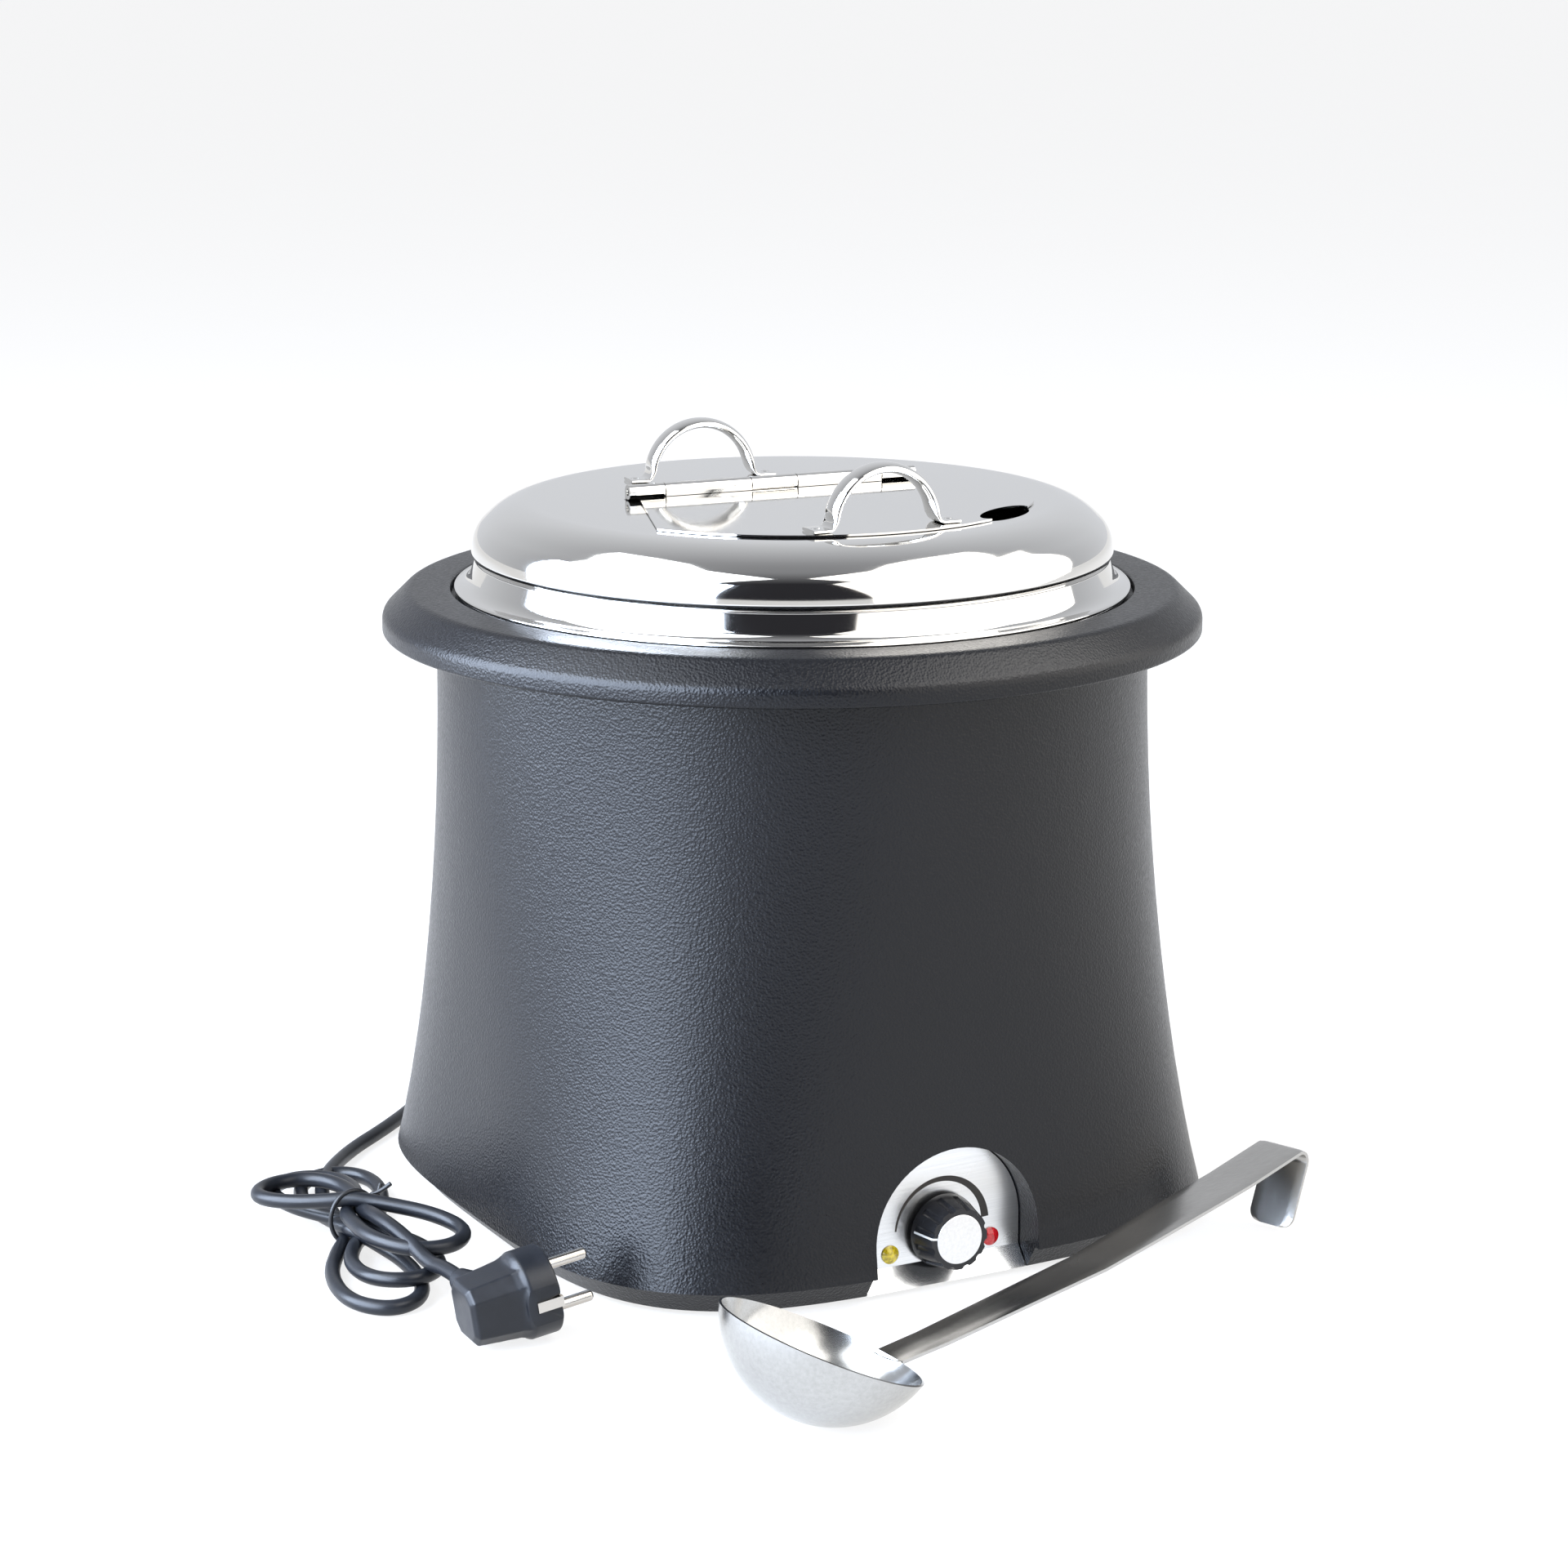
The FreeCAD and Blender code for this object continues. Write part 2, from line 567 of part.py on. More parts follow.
def make_insert_pot():
    """Lift-out pot: straight sided, with a flange and a rolled bead that hangs on the ring."""
    floor = POT_FLOOR
    rim = LEDGE_Z + GAP + POT_SHEET / 2
    points = [(0, floor), (POT_RADIUS - 3, floor), (POT_RADIUS, rim), (POT_RIM_RADIUS, rim)]
    pot = spun(points, [14, 3], POT_SHEET)
    bead = Part.makeTorus(POT_RIM_RADIUS - 0.6, 1.3, Vec(0, 0, rim + 0.8))
    return pot.fuse(bead)


def flap_outline(shrink):
    """Flap's outline in the lid's directions: hinge side, splayed seams and a front arc."""
    radius = FLAP_RADIUS - shrink
    side = FLAP_SIDE - shrink
    corner_y = -math.sqrt(radius ** 2 - side ** 2)
    rear = HINGE_Y - 4.2
    half = FLAP_HINGE_HALF - shrink
    edges = [
        Part.LineSegment(Vec(-side, corner_y, 0), Vec(-half, rear, 0)).toShape(),
        Part.LineSegment(Vec(-half, rear, 0), Vec(half, rear, 0)).toShape(),
        Part.LineSegment(Vec(half, rear, 0), Vec(side, corner_y, 0)).toShape(),
        Part.Arc(Vec(side, corner_y, 0), Vec(0, -radius, 0), Vec(-side, corner_y, 0)).toShape(),
    ]
    return Part.Face(Part.Wire(edges))


def notch_tool(low, high):
    """Rounded notch at the flap's edge, where the ladle's handle passes through."""
    ellipse = Part.Ellipse(Vec(0, 0, 0), NOTCH_LONG, NOTCH_SHORT).toShape()
    tool = Part.Face(Part.Wire([ellipse])).extrude(Vec(0, 0, high - low))
    tool.rotate(Vec(0, 0, 0), Z_AXIS, math.degrees(math.atan2(NOTCH_AT[1], NOTCH_AT[0])) + 90)
    tool.translate(Vec(NOTCH_AT[0], NOTCH_AT[1], low))
    return tool


def turn_lid(shape):
    """Turns a piece of the lid to how the lid stands on the pot."""
    shape.rotate(Vec(0, 0, 0), Z_AXIS, LID_TURN)
    return shape


def make_lid_shell():
    """Spun steel lid: flared flange, waist, domed shoulder and a flat top with the opening."""
    top = LID_TOP - LID_SHEET / 2
    points = [
        (LID_RADIUS - 0.2, 276.9), (141.6, 278.6), (138.4, 289.0), (139.9, 292.4), (139.2, 301.0),
        (125.0, top), (0, top),
    ]
    lid = spun(points, [7, 1.2, 1.4, 15, 27], LID_SHEET)
    opening = flap_outline(FLAP_OVERLAP).extrude(Vec(0, 0, 10))
    opening.translate(Vec(0, 0, LID_TOP - 5))
    slot = block(
        (HINGE_LOW_X - 0.3, HINGE_Y - 6, LID_TOP - 5),
        (HINGE_LOW_X + sum(KNUCKLES) + 0.3, HINGE_Y + 3.4, LID_TOP + 5)
    )
    return turn_lid(lid.cut(opening).cut(slot).cut(notch_tool(LID_TOP - 5, LID_TOP + 5)))


def make_lid_flap():
    """Hinged front half of the lid's top."""
    flap = flap_outline(0).extrude(Vec(0, 0, LID_SHEET))
    flap.translate(Vec(0, 0, LID_TOP + GAP))
    flap = flap.cut(notch_tool(LID_TOP - 5, LID_TOP + 5))
    return turn_lid(flap)


def knuckle_spans():
    """Start and end of every hinge knuckle along the pin."""
    spans = []
    x = HINGE_LOW_X
    for length in KNUCKLES:
        spans.append((x + 0.2, x + length - 0.2))
        x += length
    return spans


def make_leaf(spans, web_low, web_high, plate_low, plate_high, plate_top):
    """Hinge leaf: knuckles on the pin, webs down from them and a plate under the sheet."""
    leaf = block((spans[0][0], plate_low, plate_top - 1), (spans[-1][1], plate_high, plate_top))
    for start, end in spans:
        barrel = rod(HINGE_RADIUS, (start, HINGE_Y, HINGE_Z), (end, HINGE_Y, HINGE_Z))
        web = block((start, web_low, plate_top - 1), (end, web_high, HINGE_Z))
        leaf = leaf.fuse(barrel).fuse(web)
    bore = PIN_RADIUS + PIN_CLEARANCE
    start = (HINGE_LOW_X - 5, HINGE_Y, HINGE_Z)
    end = (HINGE_LOW_X + sum(KNUCKLES) + 5, HINGE_Y, HINGE_Z)
    return leaf.cut(rod(bore, start, end))


def make_hinge():
    """Rear leaf under the lid's top, front leaf under the flap, and the pin through both."""
    spans = knuckle_spans()
    sheet_low = LID_TOP - LID_SHEET
    rear = make_leaf(spans[0::2], HINGE_Y + 1.7, HINGE_Y + 3.1, HINGE_Y + 1.7, HINGE_Y + 15, sheet_low)
    front = make_leaf(
        spans[1::2], HINGE_Y - 3.1, HINGE_Y - 1.7, HINGE_Y - 15, HINGE_Y - 1.7, LID_TOP + GAP
    )
    start = (spans[0][0] + 1, HINGE_Y, HINGE_Z)
    end = (spans[-1][1] - 1, HINGE_Y, HINGE_Z)
    pin = rod(PIN_RADIUS, start, end)
    return turn_lid(rear), turn_lid(front), turn_lid(pin)


def make_handle(x, y, base_z, turn):
    """Loop handle of formed strip with a flattened, welded tab at each foot."""
    loop_z = base_z + HANDLE_LEG
    section = Part.Ellipse(Vec(0, 0, 0), HANDLE_WIDE / 2, HANDLE_THICK / 2).toShape()
    section.rotate(Vec(0, 0, 0), Z_AXIS, 90)
    section.translate(Vec(HANDLE_RADIUS, 0, 0))
    face = Part.Face(Part.Wire([section]))
    handle = face.revolve(Vec(0, 0, 0), Vec(0, -1, 0), 180)
    for side in (-1, 1):
        leg = face.copy()
        leg.translate(Vec(side * HANDLE_RADIUS - HANDLE_RADIUS, 0, 0))
        handle = handle.fuse(leg.extrude(Vec(0, 0, -HANDLE_LEG)))
        tab = Part.makeBox(10, 8, 1.2, Vec(side * HANDLE_RADIUS - 5 + side * 5, -4, -HANDLE_LEG))
        pad = Part.makeCylinder(4, 1.2, Vec(side * (HANDLE_RADIUS + 10), 0, -HANDLE_LEG))
        handle = handle.fuse(tab.fuse(pad))
    handle.rotate(Vec(0, 0, 0), Z_AXIS, turn)
    handle.translate(Vec(x, y, loop_z))
    return handle


def tube_along(route, radius, label):
    """Round tube on straight runs joined by tangent arcs as large as the runs allow."""
    points = [Vec(*p) for p in route]
    radii = []
    for before, corner, after in zip(points, points[1:], points[2:]):
        way_in = corner - before
        way_out = after - corner
        turn = way_in.getAngle(way_out)
        radii.append(0.45 * min(way_in.Length, way_out.Length) / math.tan(turn / 2))
    edges = rounded_edges(points, radii)
    path = Part.Wire(edges)
    circle = Part.makeCircle(radius, points[0], points[1] - points[0])
    tube = path.makePipeShell([Part.Wire([circle])], True, False)
    expected = math.pi * radius ** 2 * path.Length
    if abs(tube.Volume - expected) > 0.01 * expected:
        raise RuntimeError(label + " has the wrong volume")
    print(label, "length", round(path.Length, 1), "radii", [round(r, 1) for r in radii])
    return tube


def make_gland(housing):
    """Strain relief: inner nut and shank, flange outside and a ribbed taper over the cord."""
    outline = [
        (0, 144), (7, 144), (7, 158), (11, 158), (11, 163), (9, 165.5), (7, 166.5), (6.6, 172),
        (4.6, GLAND_END_Y), (0, GLAND_END_Y),
    ]
    points = [Vec(r, y, 0) for r, y in outline]
    gland = Part.Face(Part.makePolygon(points + points[:1])).revolve(Vec(0, 0, 0), Y_AXIS, 360)
    for i in range(4):
        y = 170 + i * 4.4
        groove = ring_solid(4.2, 9, 0, 1.6)
        groove.rotate(Vec(0, 0, 0), X_AXIS, -90)
        groove.translate(Vec(0, y, 0))
        gland = gland.cut(groove)
    gland.translate(Vec(GLAND_X, 0, GLAND_Z))
    nut = hex_nut(19, 4, 7, (GLAND_X, 156.1, GLAND_Z), (0, -1, 0))
    return gland.cut(housing), nut


def capsule(start, end, radius, height):
    """Upright solid with round ends between two points on the surface."""
    along = Vec(end[0] - start[0], end[1] - start[1], 0)
    side = Vec(-along.y, along.x, 0).normalize() * radius
    a = Vec(start[0], start[1], 0)
    b = Vec(end[0], end[1], 0)
    tip = along.normalize() * radius
    edges = [
        Part.LineSegment(a + side, b + side).toShape(),
        Part.Arc(b + side, b + tip, b - side).toShape(),
        Part.LineSegment(b - side, a - side).toShape(),
        Part.Arc(a - side, a - tip, a + side).toShape(),
    ]
    return Part.Face(Part.Wire(edges)).extrude(Vec(0, 0, height))


def make_hank():
    """Outer form of the tied hank: two lobes that meet at the tie."""
    rear = capsule((HANK_REAR[0], 40), HANK_REAR[:2], HANK_REAR[2], HANK_HEIGHT)
    front = capsule((HANK_FRONT[0], -8), HANK_FRONT[:2], HANK_FRONT[2], HANK_HEIGHT)
    waist = block((TIE_AT[0] - 20, -15, 0), (TIE_AT[0] + 20, 40, HANK_HEIGHT))
    hank = rear.fuse(front).fuse(waist).removeSplitter()
    tie = block((TIE_AT[0] - 21.5, TIE_AT[1] - 2, 0), (TIE_AT[0] + 21.5, TIE_AT[1] + 2, HANK_HEIGHT + 1.5))
    return hank, tie.cut(hank)


def plug_place():
    """Where the plug lies: on its side, nose a little up, pins towards +X."""
    tilt = FreeCAD.Rotation(Y_AXIS, -PLUG_TILT)
    turn = FreeCAD.Rotation(Z_AXIS, PLUG_TURN)
    return FreeCAD.Placement(Vec(*PLUG_FACE), turn.multiply(tilt))


def make_plug():
    """Angled earthed plug: body, relief over the cord, two pins and the earth contacts."""
    disc = rod(PLUG_RADIUS, (-15, 0, 0), (0, 0, 0))
    disc = disc.cut(block((-16, 16.6, -30), (1, 40, 30))).cut(block((-16, -40, -30), (1, -16.6, 30)))
    back = Part.makeCone(12.6, 16.2, PLUG_LENGTH - 13, Vec(-PLUG_LENGTH, 0, 0), X_AXIS)
    neck = Part.makeCone(11.5, 7.6, 20, Vec(-PLUG_NECK_BACK + 3, 0, 0), Y_AXIS)
    body = disc.fuse(back).fuse(neck)
    groove_y = 16.6
    strips = []
    for side in (-1, 1):
        strip = block((-11, side * groove_y - 1.2, -2.2), (0.3, side * groove_y + 1.2, 2.2))
        strips.append(strip)
        body = body.cut(strip)
    pins = []
    for side in (-1, 1):
        z = side * PIN_SPACING / 2
        pin = rod(PLUG_PIN_RADIUS, (0, 0, z), (PLUG_PIN_LENGTH, 0, z))
        nose = [e for e in pin.Edges if abs(e.CenterOfMass.x - PLUG_PIN_LENGTH) < 0.01]
        pins.append(pin.makeFillet(1.6, nose))
    relief = Part.makeCone(7.6, 4.4, 14, Vec(-PLUG_NECK_BACK + 3, 20, 0), Y_AXIS)
    place = plug_place()
    groups = [body, relief, Part.makeCompound(pins), Part.makeCompound(strips)]
    for shape in groups:
        shape.Placement = place.multiply(shape.Placement)
    return groups


def ladle_place():
    """Where the ladle lies: its long direction turned about Z, under the bowl's centre."""
    return FreeCAD.Placement(Vec(LADLE_AT[0], LADLE_AT[1], 0), FreeCAD.Rotation(Z_AXIS, LADLE_TURN))


def make_ladle():
    """Ladle: spun bowl, tipped over on its side of the strap, and a strap that ends in a hook."""
    centre = Vec(0, 0, BOWL_RADIUS)
    tilt = math.radians(BOWL_TILT)
    lean = math.radians(BOWL_LEAN)
    up = Vec(math.sin(tilt) * math.cos(lean), math.sin(tilt) * math.sin(lean), math.cos(tilt))
    bowl = Part.makeSphere(BOWL_RADIUS, centre).cut(Part.makeSphere(BOWL_RADIUS - BOWL_SHEET, centre))
    cutter = Part.makeBox(200, 200, 100, Vec(-100, -100, 0))
    rim_centre = centre - up * (BOWL_RADIUS - BOWL_DEPTH)
    cutter.Placement = FreeCAD.Placement(rim_centre, FreeCAD.Rotation(Z_AXIS, up)).multiply(cutter.Placement)
    bowl = bowl.cut(cutter)
    line = [(STRAP_START, 14.3), (160, 15.5), (STRAP_END, 36.5), (STRAP_END - 14.5, 1.6)]
    strip = strip_face(line, [1500, 5], STRAP_THICK).extrude(Vec(0, 40, 0))
    strip.translate(Vec(0, -20, 0))
    narrow = STRAP_NARROW / 2
    wide = STRAP_WIDE / 2
    plan = [
        (STRAP_START - 10, -narrow), (STRAP_END - 60, -wide), (STRAP_END + 10, -wide),
        (STRAP_END + 10, wide), (STRAP_END - 60, wide), (STRAP_START - 10, narrow),
    ]
    points = [Vec(x, y, 0) for x, y in plan]
    prism = Part.Face(Part.makePolygon(points + points[:1])).extrude(Vec(0, 0, 60))
    handle = strip.common(prism).cut(Part.makeSphere(BOWL_RADIUS, centre))
    for shape in (bowl, handle):
        shape.Placement = ladle_place().multiply(shape.Placement)
    return bowl, handle


def make_wiring():
    """Terminal block on the tray, supply wires from the gland and wires to the controls."""
    terminal = block((-8, 104, TRAY_Z + 3), (32, 122, TRAY_Z + 19))
    for i in range(4):
        x = -3 + i * 10
        terminal = terminal.cut(Part.makeCylinder(2, 4, Vec(x, 108, TRAY_Z + 16)))
        terminal = terminal.cut(Part.makeCylinder(2, 4, Vec(x, 118, TRAY_Z + 16)))
    supply = []
    for i, dx in enumerate((-3.6, 0, 3.6)):
        end = (7 + i * 10, 122, 14)
        start = (GLAND_X + dx, 144, GLAND_Z)
        middle = ((start[0] + end[0]) / 2 + 1, 133, 18)
        supply.append(tube_along([start, middle, end], 1.2, "supply wire"))
    inner = []
    for i, x in enumerate((7, 17)):
        route = [
            (x, 104, 14), (x - 12, 60, 20 + 4 * i), (-20 - 12 * i, 0, 30),
            (-40 + 30 * i, -60, 32), (PANEL_X - 9 + 18 * i, -104.8, 20.5),
        ]
        inner.append(tube_along(route, 1.2, "control wire"))
    return terminal, Part.makeCompound(supply), Part.makeCompound(inner)


def main():
    os.makedirs("parts", exist_ok=True)
    housing = make_housing()
    save(housing, "housing")
    save(make_base_tray(), "base_tray")
    corners = ("front_left", "rear_left", "front_right", "rear_right")
    for name, (x, y) in zip(corners, diagonals(FOOT_AT)):
        save(make_foot(x, y), "foot_" + name)
    save(make_base_screws(), "base_screws")
    save(make_top_ring(), "top_ring")
    save(make_ring_screws(), "ring_screws")
    save(make_seal_ring(), "seal_ring")
    save(make_water_pan(), "water_pan")
    save(make_heating_element(), "heating_element")
    save(make_element_clamp(), "element_clamp")
    clamp_low = PAN_FLOOR - 2 * ELEMENT_TUBE - 2.1
    save(hex_nut(8, 3.6, 2.5, (0, 0, clamp_low), (0, 0, -1)), "clamp_nut")
    for shape, name in zip(
        make_heating_controls(), ("thermal_cutout", "sensor_bulb", "bulb_clip", "capillary_tube")
    ):
        save(shape, name)
    for shape, name in zip(make_thermostat(), ("thermostat_body", "thermostat_nut")):
        save(shape, name)
    save(make_control_panel(), "control_panel")
    for side, colour in ((-1, "yellow"), (1, "red")):
        lens, body = make_lamp(side)
        save(lens, "lamp_lens_" + colour)
        save(body, "lamp_body_" + colour)
    for shape, name in zip(make_knob(), ("knob", "knob_cap", "thermostat_shaft")):
        save(shape, name)
    save(make_insert_pot(), "insert_pot")
    save(make_lid_shell(), "lid_shell")
    save(make_lid_flap(), "lid_flap")
    for shape, name in zip(make_hinge(), ("hinge_leaf_rear", "hinge_leaf_front", "hinge_pin")):
        save(shape, name)
    save(make_handle(-11.8, 65.4, LID_TOP, -8.0), "rear_handle")
    save(make_handle(-7.0, -92.0, LID_TOP + GAP + LID_SHEET, -3.0), "front_handle")
    gland, nut = make_gland(housing)
    save(gland, "cord_gland")
    save(nut, "gland_nut")
    save(tube_along(LEAD_ROUTE, CORD_RADIUS, "cord_lead"), "cord_lead")
    save(tube_along(TAIL_ROUTE, CORD_RADIUS, "cord_tail"), "cord_tail")
    hank, tie = make_hank()
    save(hank, "cord_hank")
    save(tie, "cord_tie")
    names = ("plug_body", "plug_relief", "plug_pins", "plug_earth_strips")
    for shape, name in zip(make_plug(), names):
        save(shape, name)
    for shape, name in zip(make_ladle(), ("ladle_bowl", "ladle_handle")):
        save(shape, name)
    for shape, name in zip(make_wiring(), ("terminal_block", "supply_wires", "control_wires")):
        save(shape, name)


main()
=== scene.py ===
"""Looks of the electric soup kettle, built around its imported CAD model.

Everything is in metres in the CAD model's frame: the origin is on the kettle's axis where it
stands, +Z is up and the control panel faces -Y. Sizes with the suffix _MM are in millimetres.
"""
import bpy
import bmesh
import json
import math
from mathutils import Matrix, Vector


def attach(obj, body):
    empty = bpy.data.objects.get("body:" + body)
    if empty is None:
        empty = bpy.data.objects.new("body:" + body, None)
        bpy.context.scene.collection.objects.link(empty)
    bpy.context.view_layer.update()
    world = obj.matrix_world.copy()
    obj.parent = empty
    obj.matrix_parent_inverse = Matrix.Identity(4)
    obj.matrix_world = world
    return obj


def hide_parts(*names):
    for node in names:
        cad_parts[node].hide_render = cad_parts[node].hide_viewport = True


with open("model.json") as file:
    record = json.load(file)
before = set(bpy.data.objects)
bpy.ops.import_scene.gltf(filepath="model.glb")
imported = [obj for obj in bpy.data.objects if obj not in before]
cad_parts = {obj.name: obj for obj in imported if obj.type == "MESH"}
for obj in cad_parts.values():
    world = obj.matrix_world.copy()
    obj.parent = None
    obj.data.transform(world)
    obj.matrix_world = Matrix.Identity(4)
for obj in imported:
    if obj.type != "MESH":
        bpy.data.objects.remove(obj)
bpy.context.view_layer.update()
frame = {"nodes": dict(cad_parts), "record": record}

MM = 0.001

# Camera: where it stands and how it looks down on the kettle
CAMERA_AT = Vector((-0.8100, -1.5051, 0.5934))
CAMERA_AZIMUTH = 0.4938          # from +Y towards +X
CAMERA_YAW = 0.0022              # back towards +Y
CAMERA_PITCH = 0.2344            # below the horizon
CAMERA_LENS_MM = 90.8

# Lid and flap, in millimetres as the CAD model has them
LID_TOP_MM = 314.4
LID_SHEET_MM = 0.8
LID_TURN = math.radians(-4.0)
LID_PROFILE_MM = [
    (147.3, 276.9), (141.6, 278.6), (138.4, 289.0), (139.9, 292.4), (139.2, 301.0), (125.0, 314.0),
    (0.0, 314.0),
]
LID_RADII_MM = [7.0, 1.2, 1.4, 15.0, 27.0]
FLAP_RADIUS_MM = 106.0
FLAP_SIDE_MM = 88.0
FLAP_OVERLAP_MM = 6.0
FLAP_REAR_MM = 14.8
FLAP_HINGE_HALF_MM = 66.0
HINGE_Y_MM = 19.0
HINGE_X_MM = (-70.3, 68.3)
NOTCH_AT_MM = (62.8, -80.4)
NOTCH_HALF_MM = (19.0, 7.5)

# Loop handles
LOOP_RADIUS_MM = 23.5
LOOP_LEG_MM = 1.4
LOOP_WIDE_MM = 12.0
LOOP_THICK_MM = 4.6
LOOP_TAB_MM = 1.5
LOOP_SECTION_POINTS = 28
HANDLES = (
    ("rear_loop", "rear_handle", "lid_body", (-11.8, 65.4, 314.4), -8.0),
    ("front_loop", "front_handle", "flap_body", (-7.0, -92.0, 315.5), -3.0),
)

# Control panel
PANEL_MM = (-7.0, -145.0, 24.2)
SCALE_RADIUS_MM = 21.8
SCALE_WIDTHS_MM = (0.8, 3.6)
SCALE_ANGLES = (175.0, 4.0)
LAMP_OUT_MM = 24.4
LAMP_DROP_MM = 7.7
LAMP_RADIUS_MM = 3.5
KNOB_BASE_MM = 2.8
KNOB_DEPTH_MM = 13.2
POINTER_ANGLE = math.radians(171.0)

# Mains lead
CORD_RADIUS_MM = 3.3
LEAD_ROUTE_MM = [
    (20, 189, 24), (20, 210, 22.5), (9, 231, 15), (-12, 243, 7), (-38, 241, 3.6), (-63, 225, 3.4),
    (-88, 201, 3.4), (-112, 172, 3.4), (-138, 147, 3.4), (-167, 123, 3.4), (-191, 92, 5.0),
]
HANK_ENTRY_MM = [(-203, 66, 4.6), (-206, 38, 3.6)]
TIE_MM = (-209.0, 12.0)
REAR_LOBES_MM = [(-184, 98, 4.2), (-210, 82, 10.4), (-228, 64, 16.0)]
FRONT_LOBES_MM = [(-226, -76, 3.6), (-212, -64, 10.2), (-188, -50, 16.6)]
LOBE_WIDTH_MM = 25.0             # how far a lobe bows out to each side
LOBE_POINTS = 8
PASS_HEIGHTS_MM = (3.4, 9.9, 3.4, 9.9, 16.3, 22.4, 16.3)
PASS_OFFSETS_MM = (-3.6, -3.6, 3.6, 3.6, -3.6, 0.0, 3.6)
TIE_MIDDLE_MM = 13.4
TIE_HALF_WIDTH_MM = 10.6
TIE_HALF_HEIGHT_MM = 12.6
TIE_STEPS = 13                   # control points in one turn of the tie wire
TIE_RADIUS_MM = 1.0
TIE_ENDS_MM = ([(-195.0, 14.6, 25.5), (-197.5, 12.0, 22.0)], [(-197.0, 10.4, 23.6), (-193.0, 8.0, 27.5)])
HANK_LEAVE_MM = [(-208, -10, 21.5), (-205, -36, 19.5)]
TAIL_ROUTE_MM = [(-204.0, -59.5, 14.6), (-202.3, -73.5, 17.0), (-202.5, -87.1, 17.2)]

# Plug
PLUG_FACE_MM = (-179.0, -122.0, 20.9)
PLUG_TILT = math.radians(8.5)
PLUG_TURN = math.radians(-2.0)
PLUG_NECK_BACK_MM = 25.0
PLUG_FLAT_MM = 16.7
PLUG_VOXEL_MM = 0.55
RELIEF_RIBS = 4
RELIEF_RIB_STEP_MM = 3.4

# Ladle
LADLE_AT_MM = (-118.4, -254.2)
LADLE_TURN = math.radians(19.9)
BOWL_RADIUS_MM = 44.4
BOWL_SHEET_MM = 1.0
BOWL_DEPTH_MM = 31.5
BOWL_TILT = math.radians(24.8)
BOWL_LEAN = math.radians(-21.0)
STRAP_LINE_MM = [(31.9, 14.3), (160.0, 15.5), (305.0, 36.5), (290.5, 1.6)]
STRAP_RADII_MM = [1500.0, 5.0]
STRAP_THICK_MM = 2.2
STRAP_NARROW_MM = 15.5
STRAP_WIDE_MM = 22.5

# Studio
FLOOR_HALF = 40.0
FLOOR_GLOW = 0.80
FLOOR_TONE = (0.20, 0.20, 0.20)
SOFTBOXES = (
    ("key_left", (-1.70, 0.10, 0.96), (0.0, 0.0, 0.70), (2.9, 1.8), 290.0, (0.70, 0.81, 1.0)),
    ("fill_right", (1.10, -1.22, 1.20), (0.0, 0.0, 0.70), (3.6, 2.3), 52.0, (1.0, 0.97, 0.93)),
    ("top_left", (-1.30, 0.15, 1.95), (-0.35, 0.1, 0.3), (2.2, 1.4), 34.0, (0.92, 0.96, 1.0)),
    ("top_right", (0.85, -0.95, 1.95), (0.3, -0.2, 0.3), (2.2, 1.4), 30.0, (1.0, 0.98, 0.95)),
)
ROOM_BEHIND_CAMERA = (0.03, 0.03, 0.035)
ROOM_AHEAD = (0.74, 0.76, 0.80)


# ---------------------------------------------------------------- helpers

def link(obj):
    bpy.context.scene.collection.objects.link(obj)
    return obj


def mesh_piece(name, vertices, faces, smooth_below=35.0):
    """Mesh object in metres from millimetre vertices, smooth but for edges sharper than the angle."""
    mesh = bpy.data.meshes.new(name)
    mesh.from_pydata([Vector(v) * MM for v in vertices], [], faces)
    obj = link(bpy.data.objects.new(name, mesh))
    tidy_mesh(obj, smooth_below)
    return obj


def tidy_mesh(obj, smooth_below):
    """Joins doubled vertices, turns faces outwards and sets smooth shading."""
    work = bmesh.new()
    work.from_mesh(obj.data)
    bmesh.ops.remove_doubles(work, verts=work.verts, dist=1e-7)
    bmesh.ops.dissolve_degenerate(work, edges=work.edges, dist=1e-8)
    bmesh.ops.recalc_face_normals(work, faces=work.faces)
    work.to_mesh(obj.data)
    work.free()
    obj.data.shade_smooth()
    obj.data.set_sharp_from_angle(angle=math.radians(smooth_below))


def bake_modifiers(obj):
    """Replaces a piece's mesh by what its modifiers make of it."""
    bpy.context.view_layer.update()
    shown = obj.evaluated_get(bpy.context.evaluated_depsgraph_get())
    made = bpy.data.meshes.new_from_object(shown)
    obj.modifiers.clear()
    obj.data = made
    return obj


def dress(obj, body, slot, material, *nodes):
    """Gives a piece its material and the body it rides on, and hides the CAD nodes it stands for."""
    obj.data.materials.clear()
    obj.data.materials.append(material)
    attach(obj, body)
    if nodes:
        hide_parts(*nodes)
    return obj


def rounded_line(points, radii, step=math.radians(6)):
    """Polyline whose inner corners are arcs, each divided finely."""
    out = [Vector(points[0])]
    for before, corner, after, radius in zip(points, points[1:], points[2:], radii):
        corner = Vector(corner)
        way_in = (corner - Vector(before)).normalized()
        way_out = (Vector(after) - corner).normalized()
        turn = way_in.angle(way_out)
        reach = radius * math.tan(turn / 2)
        side = (way_out - way_in * math.cos(turn)).normalized()
        centre = corner - way_in * reach + side * radius
        count = max(2, math.ceil(turn / step))
        for i in range(count + 1):
            a = turn * i / count
            out.append(centre - side * radius * math.cos(a) + way_in * radius * math.sin(a))
    out.append(Vector(points[-1]))
    return out


